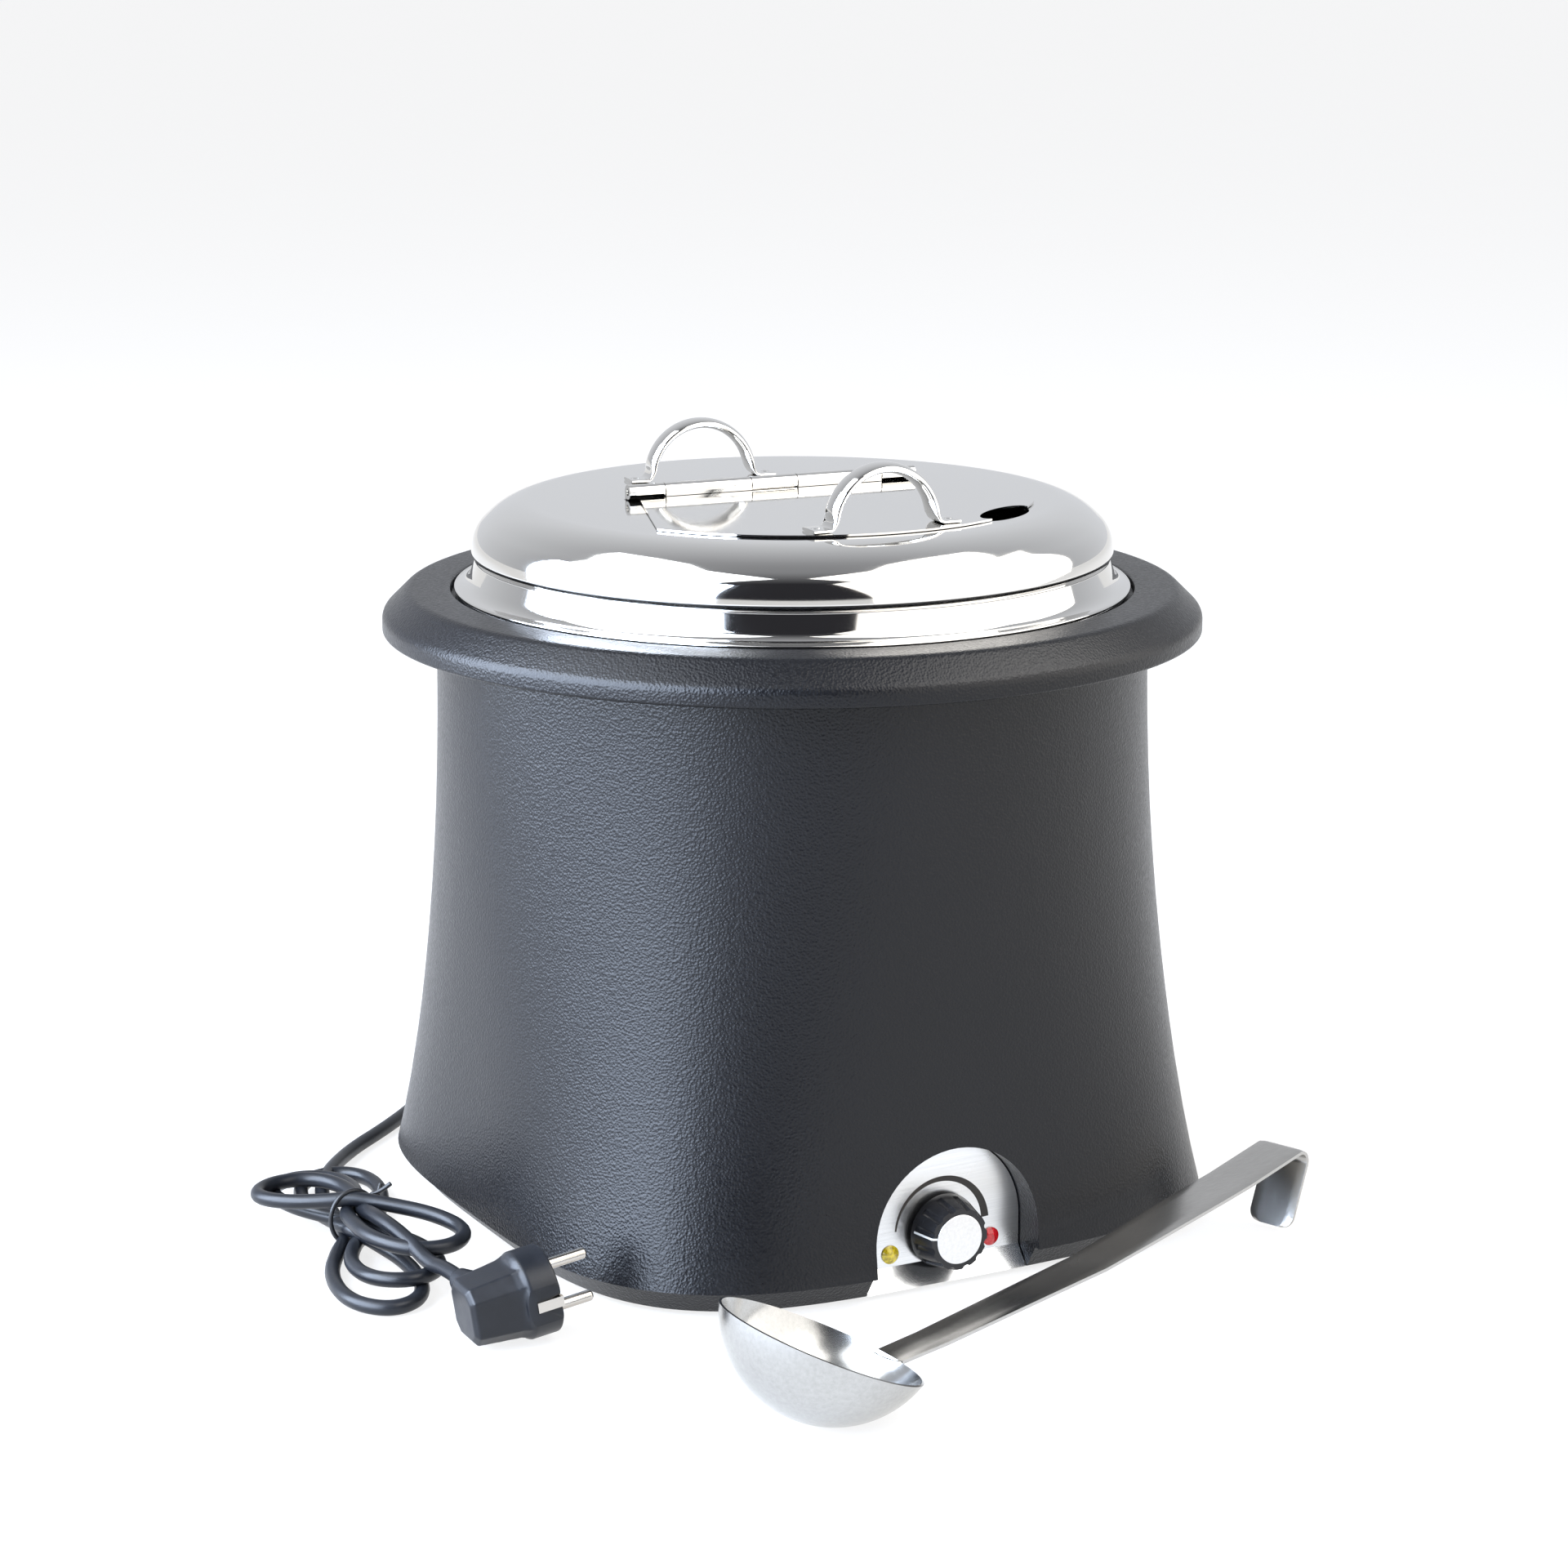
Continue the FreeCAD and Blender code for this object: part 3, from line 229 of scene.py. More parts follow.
def both_sides(line, thick):
    """Closed outline of a sheet that follows a line in a plane."""
    left = []
    right = []
    for i, point in enumerate(line):
        before = line[max(i - 1, 0)]
        after = line[min(i + 1, len(line) - 1)]
        along = (after - before).normalized()
        normal = Vector((-along.y, along.x))
        left.append(point + normal * thick / 2)
        right.append(point - normal * thick / 2)
    return left + right[::-1]


def lathe(name, outline, segments=240, smooth_below=35.0):
    """Closed (radius, height) outline turned about the Z axis."""
    vertices = []
    for k in range(segments):
        a = 2 * math.pi * k / segments
        c = math.cos(a)
        s = math.sin(a)
        vertices += [(max(r, 0) * c, max(r, 0) * s, z) for r, z in outline]
    count = len(outline)
    faces = []
    for k in range(segments):
        low = k * count
        high = ((k + 1) % segments) * count
        for i in range(count):
            j = (i + 1) % count
            faces.append((low + i, high + i, high + j, low + j))
    return mesh_piece(name, vertices, faces, smooth_below)


def prism(name, outline, low, high):
    """Upright solid with a flat (x, y) outline."""
    count = len(outline)
    vertices = [(x, y, low) for x, y in outline] + [(x, y, high) for x, y in outline]
    faces = [tuple(range(count))[::-1], tuple(range(count, 2 * count))]
    faces += [(i, (i + 1) % count, count + (i + 1) % count, count + i) for i in range(count)]
    return mesh_piece(name, vertices, faces, 1.0)


def cut(obj, tool):
    """Cuts one piece with another and removes the tool."""
    modifier = obj.modifiers.new("cut", "BOOLEAN")
    modifier.operation = "DIFFERENCE"
    modifier.solver = "EXACT"
    modifier.object = tool
    bake_modifiers(obj)
    bpy.data.objects.remove(tool)


def sweep(name, stations, smooth_below=50.0):
    """Closed skin through sections, each a list of the same number of points, with end caps."""
    count = len(stations[0])
    vertices = [p for section in stations for p in section]
    faces = []
    for k in range(len(stations) - 1):
        low = k * count
        high = low + count
        for i in range(count):
            j = (i + 1) % count
            faces.append((low + i, low + j, high + j, high + i))
    faces.append(tuple(range(count))[::-1])
    last = (len(stations) - 1) * count
    faces.append(tuple(range(last, last + count)))
    return mesh_piece(name, vertices, faces, smooth_below)


# ---------------------------------------------------------------- camera and cord

def make_camera():
    data = bpy.data.cameras.new("camera")
    data.lens = CAMERA_LENS_MM
    data.sensor_width = 36.0
    data.clip_end = 100.0
    camera = link(bpy.data.objects.new("camera", data))
    camera.location = CAMERA_AT
    heading = CAMERA_AZIMUTH - CAMERA_YAW
    camera.rotation_euler = (math.pi / 2 - CAMERA_PITCH, 0, -heading)
    bpy.context.scene.camera = camera


def lobe(tip, low, high, offsets):
    """One lobe of the figure of eight, out from the tie to its tip and back, as control points."""
    start = Vector((TIE_MM[0], TIE_MM[1], 0))
    reach = Vector((tip[0], tip[1], 0)) - start
    along = reach.normalized()
    side = Vector((-abs(along.y), 0, 0)) + Vector((0, along.x * math.copysign(1, along.y), 0))
    points = []
    for i in range(1, LOBE_POINTS):
        turn = 2 * math.pi * i / LOBE_POINTS
        out = math.sin(turn / 2) ** 2
        share = i / LOBE_POINTS
        height = (1 - share) * low + share * high
        place = start + reach * out + side * LOBE_WIDTH_MM * math.sin(turn) * math.sin(turn / 2)
        place.x += (1 - out) * ((1 - share) * offsets[0] + share * offsets[1])
        place.z = height * (1 - out) + tip[2] * out
        points.append(tuple(place))
    return points


def tie_pass(index):
    """Where one strand goes through the tie."""
    return (TIE_MM[0] + PASS_OFFSETS_MM[index], TIE_MM[1], PASS_HEIGHTS_MM[index])


def cord_route():
    """The whole lead: along the counter, round the hank's turns and out to the plug."""
    route = LEAD_ROUTE_MM + HANK_ENTRY_MM
    lobes = [t for pair in zip(FRONT_LOBES_MM, REAR_LOBES_MM) for t in pair]
    for index, tip in enumerate(lobes):
        route.append(tie_pass(index))
        heights = (PASS_HEIGHTS_MM[index], PASS_HEIGHTS_MM[index + 1])
        offsets = (PASS_OFFSETS_MM[index], PASS_OFFSETS_MM[index + 1])
        route += lobe(tip, *heights, offsets)
    route.append(tie_pass(len(lobes)))
    return route + HANK_LEAVE_MM + TAIL_ROUTE_MM


def spline_piece(name, route, radius, order=3):
    """Round cord along one smooth spline; route and radius are in millimetres."""
    data = bpy.data.curves.new(name, "CURVE")
    data.dimensions = "3D"
    data.bevel_depth = radius * MM
    data.bevel_resolution = 6
    data.use_fill_caps = True
    spline = data.splines.new("NURBS")
    spline.points.add(len(route) - 1)
    for point, place in zip(spline.points, route):
        point.co = (place[0] * MM, place[1] * MM, place[2] * MM, 1.0)
    spline.order_u = order
    spline.use_endpoint_u = True
    spline.resolution_u = 12
    return link(bpy.data.objects.new(name, data))


def make_cord(material):
    cord = spline_piece("mains_cord", cord_route(), CORD_RADIUS_MM)
    dress(cord, "root", "cord_rubber", material, "cord_lead", "cord_tail", "cord_hank")
    return cord


def make_tie(material):
    """Coated wire twisted round the hank's middle, with its two ends standing out."""
    route = []
    for i in range(TIE_STEPS + 2):
        turn = 2 * math.pi * i / TIE_STEPS + 0.3
        x = TIE_MM[0] + TIE_HALF_WIDTH_MM * math.cos(turn)
        z = TIE_MIDDLE_MM + TIE_HALF_HEIGHT_MM * math.sin(turn)
        route.append((x, TIE_MM[1] + i / TIE_STEPS, z))
    route = TIE_ENDS_MM[0] + route + TIE_ENDS_MM[1]
    tie = spline_piece("cord_tie_wire", route, TIE_RADIUS_MM)
    return dress(tie, "root", "tie_wire", material, "cord_tie")


# ---------------------------------------------------------------- materials

def new_material(name, color, roughness, metallic=0.0, specular=0.5):
    """Principled material; returns it with its node tree and shader."""
    material = bpy.data.materials.new(name)
    material.use_nodes = True
    tree = material.node_tree
    shader = tree.nodes["Principled BSDF"]
    shader.inputs["Base Color"].default_value = (*color, 1.0)
    shader.inputs["Roughness"].default_value = roughness
    shader.inputs["Metallic"].default_value = metallic
    shader.inputs["Specular IOR Level"].default_value = specular
    return material, tree, shader


def object_place(tree, scale=(1.0, 1.0, 1.0)):
    """Object coordinates, scaled."""
    where = tree.nodes.new("ShaderNodeTexCoord")
    mapping = tree.nodes.new("ShaderNodeMapping")
    mapping.inputs["Scale"].default_value = scale
    tree.links.new(where.outputs["Object"], mapping.inputs["Vector"])
    return mapping.outputs["Vector"]


def noise(tree, place, scale, detail=3.0, roughness=0.5):
    """Noise texture at a scale per metre."""
    node = tree.nodes.new("ShaderNodeTexNoise")
    node.inputs["Scale"].default_value = scale
    node.inputs["Detail"].default_value = detail
    node.inputs["Roughness"].default_value = roughness
    tree.links.new(place, node.inputs["Vector"])
    return node.outputs["Fac"]


def ramp(tree, value, low, high, out_low, out_high):
    """Maps a value from one span to another."""
    node = tree.nodes.new("ShaderNodeMapRange")
    node.inputs["From Min"].default_value = low
    node.inputs["From Max"].default_value = high
    node.inputs["To Min"].default_value = out_low
    node.inputs["To Max"].default_value = out_high
    tree.links.new(value, node.inputs["Value"])
    return node.outputs["Result"]


def two_tone(tree, value, first, second):
    """Colour between two tones."""
    node = tree.nodes.new("ShaderNodeMix")
    node.data_type = "RGBA"
    node.inputs["A"].default_value = (*first, 1.0)
    node.inputs["B"].default_value = (*second, 1.0)
    tree.links.new(value, node.inputs["Factor"])
    return node.outputs["Result"]


def bump(tree, shader, height, strength, distance):
    """Adds relief to a shader."""
    node = tree.nodes.new("ShaderNodeBump")
    node.inputs["Strength"].default_value = strength
    node.inputs["Distance"].default_value = distance
    tree.links.new(height, node.inputs["Height"])
    tree.links.new(node.outputs["Normal"], shader.inputs["Normal"])


def grained_plastic(name, dark, light, roughness, grain, depth):
    """Moulded plastic with a pebbled grain: cells a little rounded, some patches glossier."""
    material, tree, shader = new_material(name, dark, roughness, 0.0, 0.30)
    place = object_place(tree)
    cells = tree.nodes.new("ShaderNodeTexVoronoi")
    cells.feature = "SMOOTH_F1"
    cells.inputs["Scale"].default_value = grain
    cells.inputs["Smoothness"].default_value = 0.6
    tree.links.new(place, cells.inputs["Vector"])
    broad = noise(tree, place, 9.0, 2.0)
    fine = noise(tree, place, grain * 0.6, 4.0)
    tone = two_tone(tree, ramp(tree, broad, 0.3, 0.7, 0, 1), dark, light)
    tree.links.new(tone, shader.inputs["Base Color"])
    rough = ramp(tree, fine, 0.3, 0.7, roughness - 0.05, roughness + 0.06)
    tree.links.new(rough, shader.inputs["Roughness"])
    bump(tree, shader, cells.outputs["Distance"], 0.55, depth)
    return material


def polished_steel(name, color, roughness, waviness):
    """Mirror steel with faint smudges and a slightly uneven surface."""
    material, tree, shader = new_material(name, color, roughness, 1.0)
    place = object_place(tree)
    smudge = noise(tree, place, 14.0, 4.0, 0.6)
    tree.links.new(ramp(tree, smudge, 0.35, 0.75, roughness, roughness + 0.05), shader.inputs["Roughness"])
    sheet = noise(tree, place, 7.0, 1.0)
    bump(tree, shader, sheet, waviness, 0.0012)
    return material


def satin_steel(name, color, roughness, scale, strength):
    """Brushed steel: fine streaks, stretched by the scale."""
    material, tree, shader = new_material(name, color, roughness, 1.0)
    streaks = noise(tree, object_place(tree, scale), 1.0, 5.0, 0.7)
    cloud = noise(tree, object_place(tree), 20.0, 3.0)
    rough = ramp(tree, cloud, 0.3, 0.7, roughness - 0.04, roughness + 0.06)
    tree.links.new(rough, shader.inputs["Roughness"])
    darker = tuple(c * 0.86 for c in color)
    tone = two_tone(tree, ramp(tree, streaks, 0.3, 0.7, 0, 1), darker, color)
    tree.links.new(tone, shader.inputs["Base Color"])
    bump(tree, shader, streaks, strength, 0.0002)
    return material


def soft_black(name, color, roughness, scale=900.0, depth=0.0001):
    """Smooth black rubber or plastic with a faint skin texture and handling marks."""
    material, tree, shader = new_material(name, color, roughness, 0.0, 0.35)
    place = object_place(tree)
    marks = noise(tree, place, 60.0, 4.0, 0.6)
    rough = ramp(tree, marks, 0.3, 0.7, roughness - 0.06, roughness + 0.08)
    tree.links.new(rough, shader.inputs["Roughness"])
    paler = tuple(c * 1.7 for c in color)
    tone = two_tone(tree, ramp(tree, marks, 0.45, 0.8, 0, 1), color, paler)
    tree.links.new(tone, shader.inputs["Base Color"])
    bump(tree, shader, noise(tree, place, scale, 3.0), 0.25, depth)
    return material


def lamp_plastic(name, color, core):
    """Coloured pilot-lamp lens with a darker moulded swirl."""
    material, tree, shader = new_material(name, color, 0.12)
    swirl = noise(tree, object_place(tree), 700.0, 2.0)
    tone = two_tone(tree, ramp(tree, swirl, 0.35, 0.65, 0, 1), core, color)
    tree.links.new(tone, shader.inputs["Base Color"])
    shader.inputs["Coat Weight"].default_value = 0.6
    shader.inputs["Subsurface Weight"].default_value = 0.25
    shader.inputs["Subsurface Radius"].default_value = (0.002, 0.001, 0.001)
    return material


def make_materials():
    """All materials, by the record's slot."""
    return {
        "housing_plastic": grained_plastic(
            "housing_plastic", (0.0024, 0.0026, 0.0036), (0.0032, 0.0034, 0.0046), 0.32, 950.0, 0.00030),
        "foot_rubber": soft_black("foot_rubber", (0.02, 0.02, 0.02), 0.7),
        "seal_rubber": soft_black("seal_rubber", (0.05, 0.05, 0.05), 0.6),
        "screw_steel": satin_steel("screw_steel", (0.6, 0.6, 0.62), 0.35, (400.0, 400.0, 2000.0), 0.2),
        "fitting_plastic": soft_black("fitting_plastic", (0.04, 0.04, 0.043), 0.5),
        "satin_steel": satin_steel("satin_steel", (0.66, 0.66, 0.66), 0.22, (60.0, 60.0, 2600.0), 0.12),
        "strap_steel": satin_steel("strap_steel", (0.50, 0.49, 0.47), 0.22, (30.0, 1600.0, 1600.0), 0.1),
        "element_sheath": soft_black("element_sheath", (0.08, 0.085, 0.08), 0.55),
        "zinc_steel": satin_steel("zinc_steel", (0.58, 0.58, 0.6), 0.35, (500.0, 500.0, 500.0), 0.2),
        "copper_bulb": satin_steel("copper_bulb", (0.72, 0.38, 0.22), 0.3, (50.0, 900.0, 900.0), 0.2),
        "panel_steel": satin_steel("panel_steel", (0.78, 0.79, 0.80), 0.24, (40.0, 900.0, 2600.0), 0.08),
        "lens_yellow": lamp_plastic("lens_yellow", (0.75, 0.62, 0.03), (0.34, 0.25, 0.01)),
        "lens_red": lamp_plastic("lens_red", (0.65, 0.012, 0.02), (0.42, 0.004, 0.008)),
        "knob_plastic": soft_black("knob_plastic", (0.011, 0.011, 0.012), 0.22),
        "cap_aluminium": satin_steel("cap_aluminium", (0.83, 0.83, 0.83), 0.34, (700.0, 700.0, 700.0), 0.1),
        "polished_steel": polished_steel("polished_steel", (0.74, 0.73, 0.71), 0.045, 0.05),
        "bowl_steel": satin_steel("bowl_steel", (0.50, 0.50, 0.49), 0.2, (500.0, 500.0, 500.0), 0.05),
        "cord_rubber": soft_black("cord_rubber", (0.0060, 0.0070, 0.0095), 0.36),
        "tie_wire": soft_black("tie_wire", (0.012, 0.012, 0.013), 0.35),
        "plug_plastic": soft_black("plug_plastic", (0.0060, 0.0070, 0.0095), 0.36),
        "pin_brass": polished_steel("pin_brass", (0.52, 0.49, 0.45), 0.16, 0.05),
        "wire_insulation": soft_black("wire_insulation", (0.05, 0.12, 0.4), 0.4),
        "scale_print": soft_black("scale_print", (0.025, 0.022, 0.02), 0.45),
        "pointer_white": soft_black("pointer_white", (0.42, 0.42, 0.40), 0.45),
    }


def dress_cad(materials):
    """Gives every CAD node the material of its slot."""
    for row in frame["record"]["subparts"]:
        node = frame["nodes"][row["node"]]
        node.data.materials.clear()
        node.data.materials.append(materials[row["material_slot"]])


# ---------------------------------------------------------------- lid

def flap_outline(shrink):
    """Flap's outline in the lid's directions, made smaller by shrink."""
    radius = FLAP_RADIUS_MM - shrink
    side = FLAP_SIDE_MM - shrink
    corner = math.asin(side / radius)
    half = FLAP_HINGE_HALF_MM - shrink
    outline = [(-half, FLAP_REAR_MM), (half, FLAP_REAR_MM)]
    for i in range(49):
        angle = corner - 2 * corner * i / 48
        outline.append((radius * math.sin(angle), -radius * math.cos(angle)))
    return outline


def lid_tools():
    """Solids that cut the serving opening, the hinge's slot and the ladle's notch."""
    low = LID_TOP_MM - 4
    high = LID_TOP_MM + 4
    hinge = [
        (HINGE_X_MM[0], HINGE_Y_MM - 6), (HINGE_X_MM[1], HINGE_Y_MM - 6),
        (HINGE_X_MM[1], HINGE_Y_MM + 3.4), (HINGE_X_MM[0], HINGE_Y_MM + 3.4),
    ]
    lean = math.atan2(NOTCH_AT_MM[1], NOTCH_AT_MM[0]) + math.pi / 2
    notch = []
    for i in range(48):
        a = 2 * math.pi * i / 48
        x = NOTCH_HALF_MM[0] * math.cos(a)
        y = NOTCH_HALF_MM[1] * math.sin(a)
        notch.append((
            NOTCH_AT_MM[0] + x * math.cos(lean) - y * math.sin(lean),
            NOTCH_AT_MM[1] + x * math.sin(lean) + y * math.cos(lean),
        ))
    outlines = (flap_outline(FLAP_OVERLAP_MM), hinge, notch)
    return [prism("lid_tool", outline, low, high) for outline in outlines]


def make_lid(material):
    """Spun lid with a rolled edge, its opening and slots cut, turned as it stands on the pot."""
    line = rounded_line([Vector(p) for p in LID_PROFILE_MM], LID_RADII_MM, math.radians(4))
    lid = lathe("lid_skin", both_sides(line, LID_SHEET_MM), 288, 30.0)
    for tool in lid_tools():
        cut(lid, tool)
    tidy_mesh(lid, 30.0)
    lid.data.transform(Matrix.Rotation(LID_TURN, 4, "Z"))
    bead = [(LID_PROFILE_MM[0][0] + math.cos(a) * 0.75, LID_PROFILE_MM[0][1] + math.sin(a) * 0.75)
            for a in (2 * math.pi * i / 16 for i in range(16))]
    edge = lathe("lid_rolled_edge", bead, 288, 60.0)
    dress(edge, "lid_body", "polished_steel", material)
    return dress(lid, "lid_body", "polished_steel", material, "lid_shell")


def ellipse_section(centre, across, normal, wide, thick, squareness):
    """Section of a loop handle: across is the wide direction, normal the thin one."""
    points = []
    for i in range(LOOP_SECTION_POINTS):
        a = 2 * math.pi * i / LOOP_SECTION_POINTS
        c = math.cos(a)
        s = math.sin(a)
        x = math.copysign(abs(c) ** (2 / squareness), c) * wide / 2
        y = math.copysign(abs(s) ** (2 / squareness), s) * thick / 2
        points.append(centre + across * x + normal * y)
    return points


def make_loop(name, node, body, place, turn, material):
    """Loop handle of formed strip: a round arch whose feet flatten out into welded tabs."""
    half = [
        Vector((LOOP_RADIUS_MM + 10.5, 0, 0.75)), Vector((LOOP_RADIUS_MM + 1.2, 0, 0.75)),
        Vector((LOOP_RADIUS_MM, 0, LOOP_LEG_MM + 3.0)),
    ]
    foot = rounded_line(half, [3.2], math.radians(10))[:-1]
    count = 48
    arch = []
    start = math.asin(3.0 / LOOP_RADIUS_MM)
    for i in range(count + 1):
        a = start + (math.pi - 2 * start) * i / count
        arch.append(Vector((LOOP_RADIUS_MM * math.cos(a), 0, LOOP_LEG_MM + LOOP_RADIUS_MM * math.sin(a))))
    line = foot + arch + [Vector((-p.x, 0, p.z)) for p in reversed(foot)]
    across = Vector((0, 1, 0))
    stations = []
    for i, point in enumerate(line):
        before = line[max(i - 1, 0)]
        after = line[min(i + 1, len(line) - 1)]
        along = (after - before).normalized()
        rise = min(1.0, max(0.0, (point.z - 0.75) / 9.0))
        blend = rise * rise * (3 - 2 * rise)
        thick = LOOP_TAB_MM + (LOOP_THICK_MM - LOOP_TAB_MM) * blend
        squareness = 4.0 - 2.0 * blend
        normal = along.cross(across)
        stations.append(ellipse_section(point, across, normal, LOOP_WIDE_MM, thick, squareness))
    loop = sweep(name, stations)
    loop.data.transform(Matrix.Translation(Vector(place) * MM) @ Matrix.Rotation(math.radians(turn), 4, "Z"))
    dress(loop, body, "polished_steel", material, node)
    make_welds(name, body, place, turn, material)


def make_welds(name, body, place, turn, material):
    """Spot-weld dimples on a handle's two tabs."""
    around = Matrix.Translation(Vector(place) * MM) @ Matrix.Rotation(math.radians(turn), 4, "Z")
    for side in (-1, 1):
        outline = [(0.0, 1.30), (0.0, 1.62), (0.9, 1.6), (1.5, 1.72), (1.9, 1.6), (2.1, 1.3)]
        weld = lathe(name + ("_weld_right" if side > 0 else "_weld_left"), outline, 32, 60.0)
        weld.data.transform(around @ Matrix.Translation((side * (LOOP_RADIUS_MM + 7.4) * MM, 0, 0)))
        dress(weld, body, "polished_steel", material)


# ---------------------------------------------------------------- housing ring and pot

def make_ring(material):
    """Moulded collar with softly rounded edges and the step that the pot hangs on."""
    top = 276.8
    line = [
        (149.6, 257.2), (149.6, 269.8), (136.0, 269.8), (136.0, 265.0), (133.0, 265.0), (133.0, 273.0),
        (149.5, 273.0), (149.5, top), (168.5, top), (179.5, 266.0), (179.5, 258.2), (176.3, 258.2),
        (176.3, 264.2), (166.4, 273.6), (152.4, 273.6), (152.4, 257.2),
    ]
    radii = [1.0, 1.0, 0.4, 0.4, 1.4, 0.6, 1.2, 5.5, 6.0, 1.3, 0.8, 2.0, 2.0, 1.0]
    outline = rounded_line([Vector(p) for p in line], radii, math.radians(9))
    ring = lathe("top_collar", outline, 288, 40.0)
    return dress(ring, "root", "housing_plastic", material, "top_ring")


def make_pot(material):
    """Lift-out pot: rounded foot, straight side, flat flange and rolled bead."""
    rim = 273.8
    line = rounded_line(
        [Vector(p) for p in ((0, 62), (126.5, 62), (129.5, rim), (144.9, rim))], [14.0, 3.0], math.radians(6)
    )
    pot = lathe("pot_skin", both_sides(line, 1.0), 240, 40.0)
    bead = [(144.9 + math.cos(a) * 1.3, rim + 0.8 + math.sin(a) * 1.3)
            for a in (2 * math.pi * i / 16 for i in range(16))]
    edge = lathe("pot_bead", bead, 240, 60.0)
    dress(edge, "pot_body", "satin_steel", material)
    return dress(pot, "pot_body", "satin_steel", material, "insert_pot")


# ---------------------------------------------------------------- control panel

def panel_place():
    return Matrix.Translation(Vector(PANEL_MM) * MM) @ Matrix.Rotation(math.pi / 2, 4, "X")


def make_scale(material):
    """Printed arc round the knob that widens as the heat goes up."""
    count = 60
    inner = []
    outer = []
    for i in range(count + 1):
        share = i / count
        a = math.radians(SCALE_ANGLES[0] + (SCALE_ANGLES[1] - SCALE_ANGLES[0]) * share)
        width = SCALE_WIDTHS_MM[0] + (SCALE_WIDTHS_MM[1] - SCALE_WIDTHS_MM[0]) * share
        low = SCALE_RADIUS_MM - width / 2
        high = SCALE_RADIUS_MM + width / 2
        inner.append((low * math.cos(a), low * math.sin(a)))
        outer.append((high * math.cos(a), high * math.sin(a)))
    scale = prism("dial_scale_print", inner + outer[::-1], 0.0, 0.06)
    scale.data.transform(panel_place())
    return dress(scale, "root", "panel_steel", material)


def make_lens(side, colour, material):
    """Domed pilot-lamp lens with a shoulder."""
    line = [
        (0.0, -1.0), (LAMP_RADIUS_MM - 0.05, -1.0), (LAMP_RADIUS_MM - 0.05, 0.02),
        (LAMP_RADIUS_MM + 0.5, 0.02),
        (LAMP_RADIUS_MM + 0.5, 0.6), (LAMP_RADIUS_MM - 0.3, 1.1), (LAMP_RADIUS_MM - 1.4, 1.65),
        (LAMP_RADIUS_MM - 2.4, 1.9), (0.0, 2.0),
    ]
    lens = lathe("lamp_dome_" + colour, line, 48, 40.0)
    lens.data.transform(panel_place() @ Matrix.Translation((side * LAMP_OUT_MM * MM, -LAMP_DROP_MM * MM, 0)))
    return dress(lens, "root", "lens_" + colour, material, "lamp_lens_" + colour)


def make_pointer(material):
    """White line from the knob's back edge to its cap."""
    top = KNOB_BASE_MM + KNOB_DEPTH_MM
    line = [(16.05, KNOB_BASE_MM + 2.6), (13.55, top - 0.4), (13.0, top + 0.05), (10.9, top + 0.05)]
    stations = []
    across = Vector((-math.sin(POINTER_ANGLE), math.cos(POINTER_ANGLE), 0)) * 0.45
    out = Vector((math.cos(POINTER_ANGLE), math.sin(POINTER_ANGLE), 0))
    for radius, height in line:
        centre = out * radius + Vector((0, 0, height))
        lift = out * 0.12 + Vector((0, 0, 0.08))
        stations.append([centre - across, centre + across, centre + across + lift, centre - across + lift])
    pointer = sweep("knob_pointer_line", stations, 20.0)
    pointer.data.transform(panel_place())
    return dress(pointer, "knob_body", "knob_plastic", material)


# ---------------------------------------------------------------- plug

def plug_place():
    return (
        Matrix.Translation(Vector(PLUG_FACE_MM) * MM)
        @ Matrix.Rotation(PLUG_TURN, 4, "Z")
        @ Matrix.Rotation(-PLUG_TILT, 4, "Y")
    )


def neck_place():
    """From upright to the plug's neck, which leaves the body sideways."""
    return Matrix.Translation((-PLUG_NECK_BACK_MM * MM, 0, 0)) @ Matrix.Rotation(-math.pi / 2, 4, "X")


def join(name, objects):
    """One mesh object from several."""
    work = bmesh.new()
    for obj in objects:
        work.from_mesh(obj.data)
        bpy.data.objects.remove(obj)
    mesh = bpy.data.meshes.new(name)
    work.to_mesh(mesh)
    work.free()
    return link(bpy.data.objects.new(name, mesh))


def chamfered_square(x, half):
    """Upright square section with cut corners, standing across the X axis."""
    cut_back = 0.62 * half
    corners = [(half, cut_back), (cut_back, half)]
    corners += [(-y, z) for y, z in reversed(corners)]
    corners += [(-y, -z) for y, z in corners]
    return [(x, y, z) for y, z in corners]


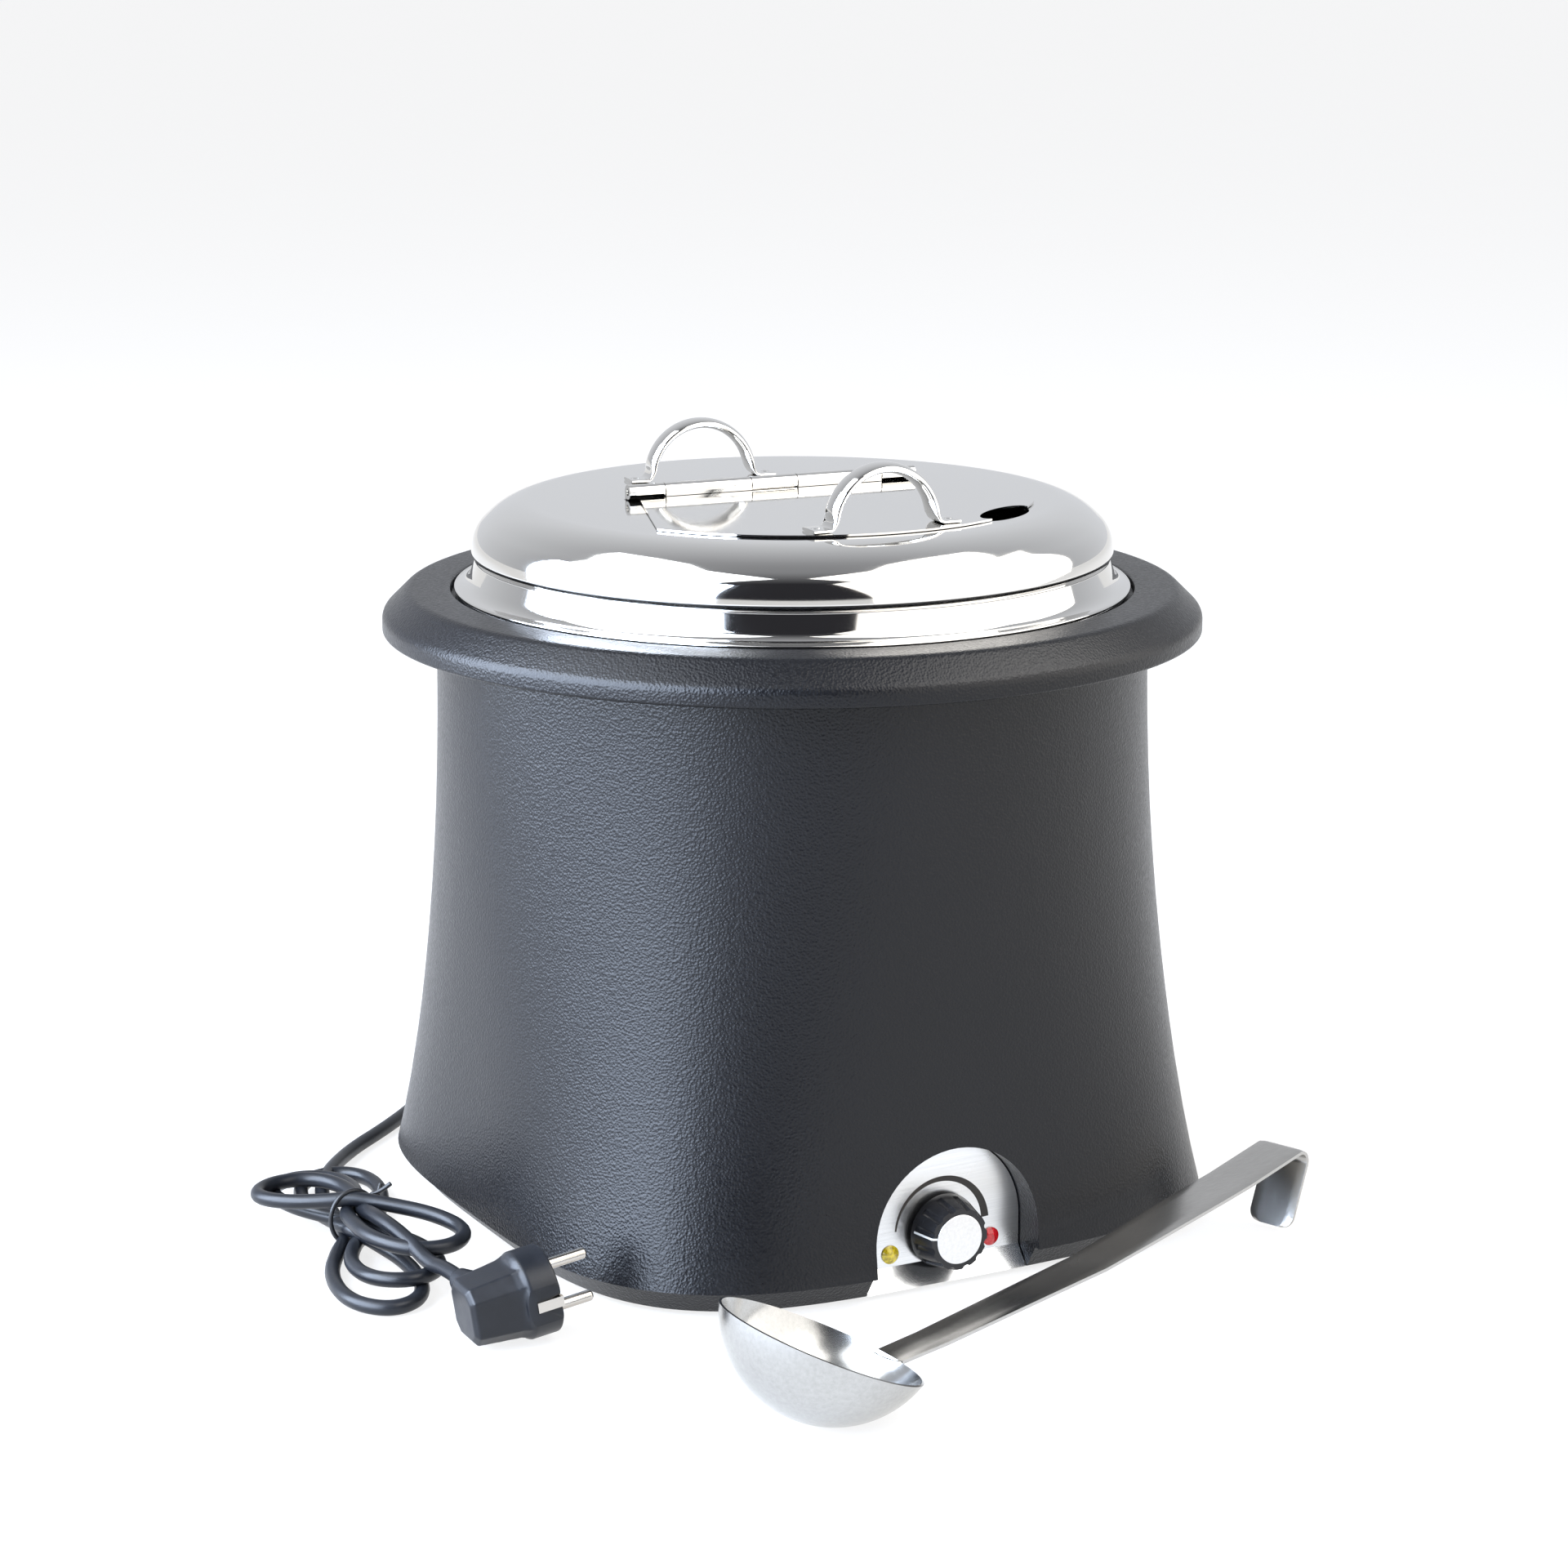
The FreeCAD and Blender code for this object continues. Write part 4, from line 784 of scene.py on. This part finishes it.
def make_plug_body(material):
    """Moulded body: round pin face with flats, chamfered back and the neck towards the cord."""
    face = lathe("plug_face", [
        (0, -15.0), (16.0, -15.0), (17.6, -13.8), (18.5, -12.4), (18.5, -0.9), (18.0, -0.3), (15.6, -0.3),
        (15.0, -0.9), (0, -0.9),
    ], 96)
    face.data.transform(Matrix.Rotation(math.pi / 2, 4, "Y"))
    back = sweep("plug_back", [
        chamfered_square(x, half) for x, half in ((-37.0, 10.2), (-35.4, 12.4), (-17.0, 14.2), (-12.0, 15.6))
    ])
    neck = lathe("plug_neck", [(0, -4), (11.8, -3), (11.4, 6), (10.0, 13), (8.0, 20), (0, 20)], 96)
    neck.data.transform(neck_place())
    body = join("plug_moulding", [face, back, neck])
    remesh = body.modifiers.new("remesh", "REMESH")
    remesh.mode = "VOXEL"
    remesh.voxel_size = PLUG_VOXEL_MM * MM
    bake_modifiers(body)
    for side in (-1, 1):
        low = side * PLUG_FLAT_MM
        high = side * 40
        flat = prism("plug_flat", [(-50, low), (5, low), (5, high), (-50, high)], -30, 30)
        cut(body, flat)
        slot = prism("plug_slot", [
            (-11.3, side * 15.4), (0.5, side * 15.4), (0.5, side * 18), (-11.3, side * 18)], -2.5, 2.5)
        cut(body, slot)
    smooth = body.modifiers.new("smooth", "SMOOTH")
    smooth.factor = 0.5
    smooth.iterations = 3
    bake_modifiers(body)
    tidy_mesh(body, 60.0)
    body.data.transform(plug_place())
    return dress(body, "root", "plug_plastic", material, "plug_body")


def make_plug_relief(material):
    """Ribbed taper over the cord where it enters the plug."""
    outline = [(0.0, 18.5), (7.4, 18.5)]
    for i in range(RELIEF_RIBS):
        start = 20.0 + i * RELIEF_RIB_STEP_MM
        radius = 7.3 - i * 0.78
        groove = radius - 1.5
        outline += [(radius, start), (radius, start + 2.0), (groove, start + 2.3), (groove, start + 3.1)]
    outline += [(4.2, 33.8), (0.0, 34.0)]
    relief = lathe("plug_relief_ribs", outline, 64, 40.0)
    relief.data.transform(plug_place() @ neck_place())
    return dress(relief, "root", "plug_plastic", material, "plug_relief")


# ---------------------------------------------------------------- ladle

def ladle_place():
    return Matrix.Translation(Vector((*LADLE_AT_MM, 0)) * MM) @ Matrix.Rotation(LADLE_TURN, 4, "Z")


def make_bowl(material):
    """Spun bowl, tipped over on its side of the strap."""
    reach = math.acos((BOWL_RADIUS_MM - BOWL_DEPTH_MM) / BOWL_RADIUS_MM)
    count = 40
    outline = []
    inside = BOWL_RADIUS_MM - BOWL_SHEET_MM
    for radius, steps in ((BOWL_RADIUS_MM, range(count + 1)), (inside, range(count, -1, -1))):
        for i in steps:
            a = reach * i / count
            outline.append((radius * math.sin(a), -radius * math.cos(a)))
    bowl = lathe("ladle_bowl_skin", outline, 160, 50.0)
    bowl.data.transform(
        ladle_place() @ Matrix.Translation((0, 0, BOWL_RADIUS_MM * MM))
        @ Matrix.Rotation(BOWL_LEAN, 4, "Z") @ Matrix.Rotation(BOWL_TILT, 4, "Y")
    )
    return dress(bowl, "ladle_body", "polished_steel", material, "ladle_bowl")


def strap_section(point, normal, wide, dish):
    """Rounded flat section, its edges raised by the dish."""
    across = Vector((0, 1, 0))
    steps = 10
    top = []
    low = []
    for i in range(steps + 1):
        u = -1 + 2 * i / steps
        lift = dish * abs(u) ** 3
        thin = STRAP_THICK_MM / 2 * (1 - 0.35 * abs(u) ** 12)
        top.append(point + across * u * wide / 2 + normal * (lift + thin))
        low.append(point + across * u * wide / 2 + normal * (lift - thin))
    return top + low[::-1]


def make_strap(material):
    """Ladle handle: a strap with pressed edges near the bowl, wider and flat towards its hook."""
    line = rounded_line([Vector((x, 0, z)) for x, z in STRAP_LINE_MM], STRAP_RADII_MM, math.radians(6))
    dense = []
    for start, end in zip(line, line[1:]):
        parts = max(1, math.ceil((end - start).length / 8.0))
        dense += [start.lerp(end, i / parts) for i in range(parts)]
    last = line[-1]
    back = (line[-2] - last).normalized()
    dense = [p for p in dense if (p - last).length > 7.0]
    dense += [last + back * d for d in (6.0, 5.0, 4.0, 3.0, 2.0, 1.2, 0.5, 0.0)]
    stations = []
    for i, point in enumerate(dense):
        before = dense[max(i - 1, 0)]
        after = dense[min(i + 1, len(dense) - 1)]
        along = (after - before).normalized()
        normal = Vector((-along.z, 0, along.x))
        share = min(1.0, max(0.0, (point.x - STRAP_LINE_MM[0][0]) / 213.0))
        wide = STRAP_NARROW_MM + (STRAP_WIDE_MM - STRAP_NARROW_MM) * (share if i < len(dense) - 12 else 1.0)
        left = (point - last).length
        if left < 6.0 and point.z < 12:
            corner = 5.5
            gap = corner - min(left, corner)
            wide = wide - 2 * (corner - math.sqrt(max(0.0, corner ** 2 - gap ** 2)))
        dish = 1.6 * max(0.0, 1 - point.x / 190.0)
        stations.append(strap_section(point, normal, wide, dish))
    strap = sweep("ladle_strap", stations, 40.0)
    strap.data.transform(ladle_place())
    return dress(strap, "ladle_body", "satin_steel", material, "ladle_handle")


# ---------------------------------------------------------------- studio

def make_floor():
    """White counter that runs on to the horizon and glows a little, as a lit table does."""
    half = FLOOR_HALF
    mesh = bpy.data.meshes.new("floor")
    corners = [(-half, -half, 0), (half, -half, 0), (half, half, 0), (-half, half, 0)]
    mesh.from_pydata(corners, [], [(0, 1, 2, 3)])
    floor = link(bpy.data.objects.new("floor", mesh))
    material, tree, shader = new_material("pale_floor", FLOOR_TONE, 0.7, 0.0, 0.1)
    shader.inputs["Emission Color"].default_value = (1.0, 1.0, 1.0, 1.0)
    shader.inputs["Emission Strength"].default_value = FLOOR_GLOW
    cloud = noise(tree, object_place(tree), 3.0, 2.0)
    tone = two_tone(tree, cloud, (0.195, 0.195, 0.195), (0.205, 0.205, 0.205))
    tree.links.new(tone, shader.inputs["Base Color"])
    mesh.materials.append(material)


def softbox(name, place, aim, size, power, color):
    """Rectangular area light that faces a point."""
    data = bpy.data.lights.new(name, "AREA")
    data.shape = "RECTANGLE"
    data.size = size[0]
    data.size_y = size[1]
    data.energy = power
    data.color = color
    light = link(bpy.data.objects.new(name, data))
    light.location = place
    light.rotation_euler = (Vector(aim) - Vector(place)).to_track_quat("-Z", "Y").to_euler()


def make_studio():
    """White counter, softboxes at both sides and above, and a room that is dark behind the camera."""
    bpy.context.scene.view_settings.view_transform = "Standard"
    make_floor()
    for row in SOFTBOXES:
        softbox(*row)
    world = bpy.data.worlds.new("studio")
    bpy.context.scene.world = world
    world.use_nodes = True
    tree = world.node_tree
    background = tree.nodes["Background"]
    background.inputs["Strength"].default_value = 1.0
    where = tree.nodes.new("ShaderNodeTexCoord")
    ahead = tree.nodes.new("ShaderNodeVectorMath")
    ahead.operation = "DOT_PRODUCT"
    ahead.inputs[1].default_value = (math.sin(CAMERA_AZIMUTH), math.cos(CAMERA_AZIMUTH), 0.0)
    tree.links.new(where.outputs["Generated"], ahead.inputs[0])
    share = ramp(tree, ahead.outputs["Value"], -0.7, 0.9, 0.0, 1.0)
    tone = two_tone(tree, share, ROOM_BEHIND_CAMERA, ROOM_AHEAD)
    tree.links.new(tone, background.inputs["Color"])


def main():
    make_camera()
    materials = make_materials()
    cord = make_cord(materials["cord_rubber"])
    tie = make_tie(materials["tie_wire"])
    body = make_plug_body(materials["plug_plastic"])
    relief = make_plug_relief(materials["plug_plastic"])
    dress_cad(materials)
    steel = materials["polished_steel"]
    make_lid(steel)
    for name, node, rider, place, turn in HANDLES:
        make_loop(name, node, rider, place, turn, steel)
    make_ring(materials["housing_plastic"])
    make_pot(materials["satin_steel"])
    make_scale(materials["scale_print"])
    make_lens(-1, "yellow", materials["lens_yellow"])
    make_lens(1, "red", materials["lens_red"])
    make_pointer(materials["pointer_white"])
    make_bowl(materials["bowl_steel"])
    make_strap(materials["strap_steel"])
    make_studio()


main()
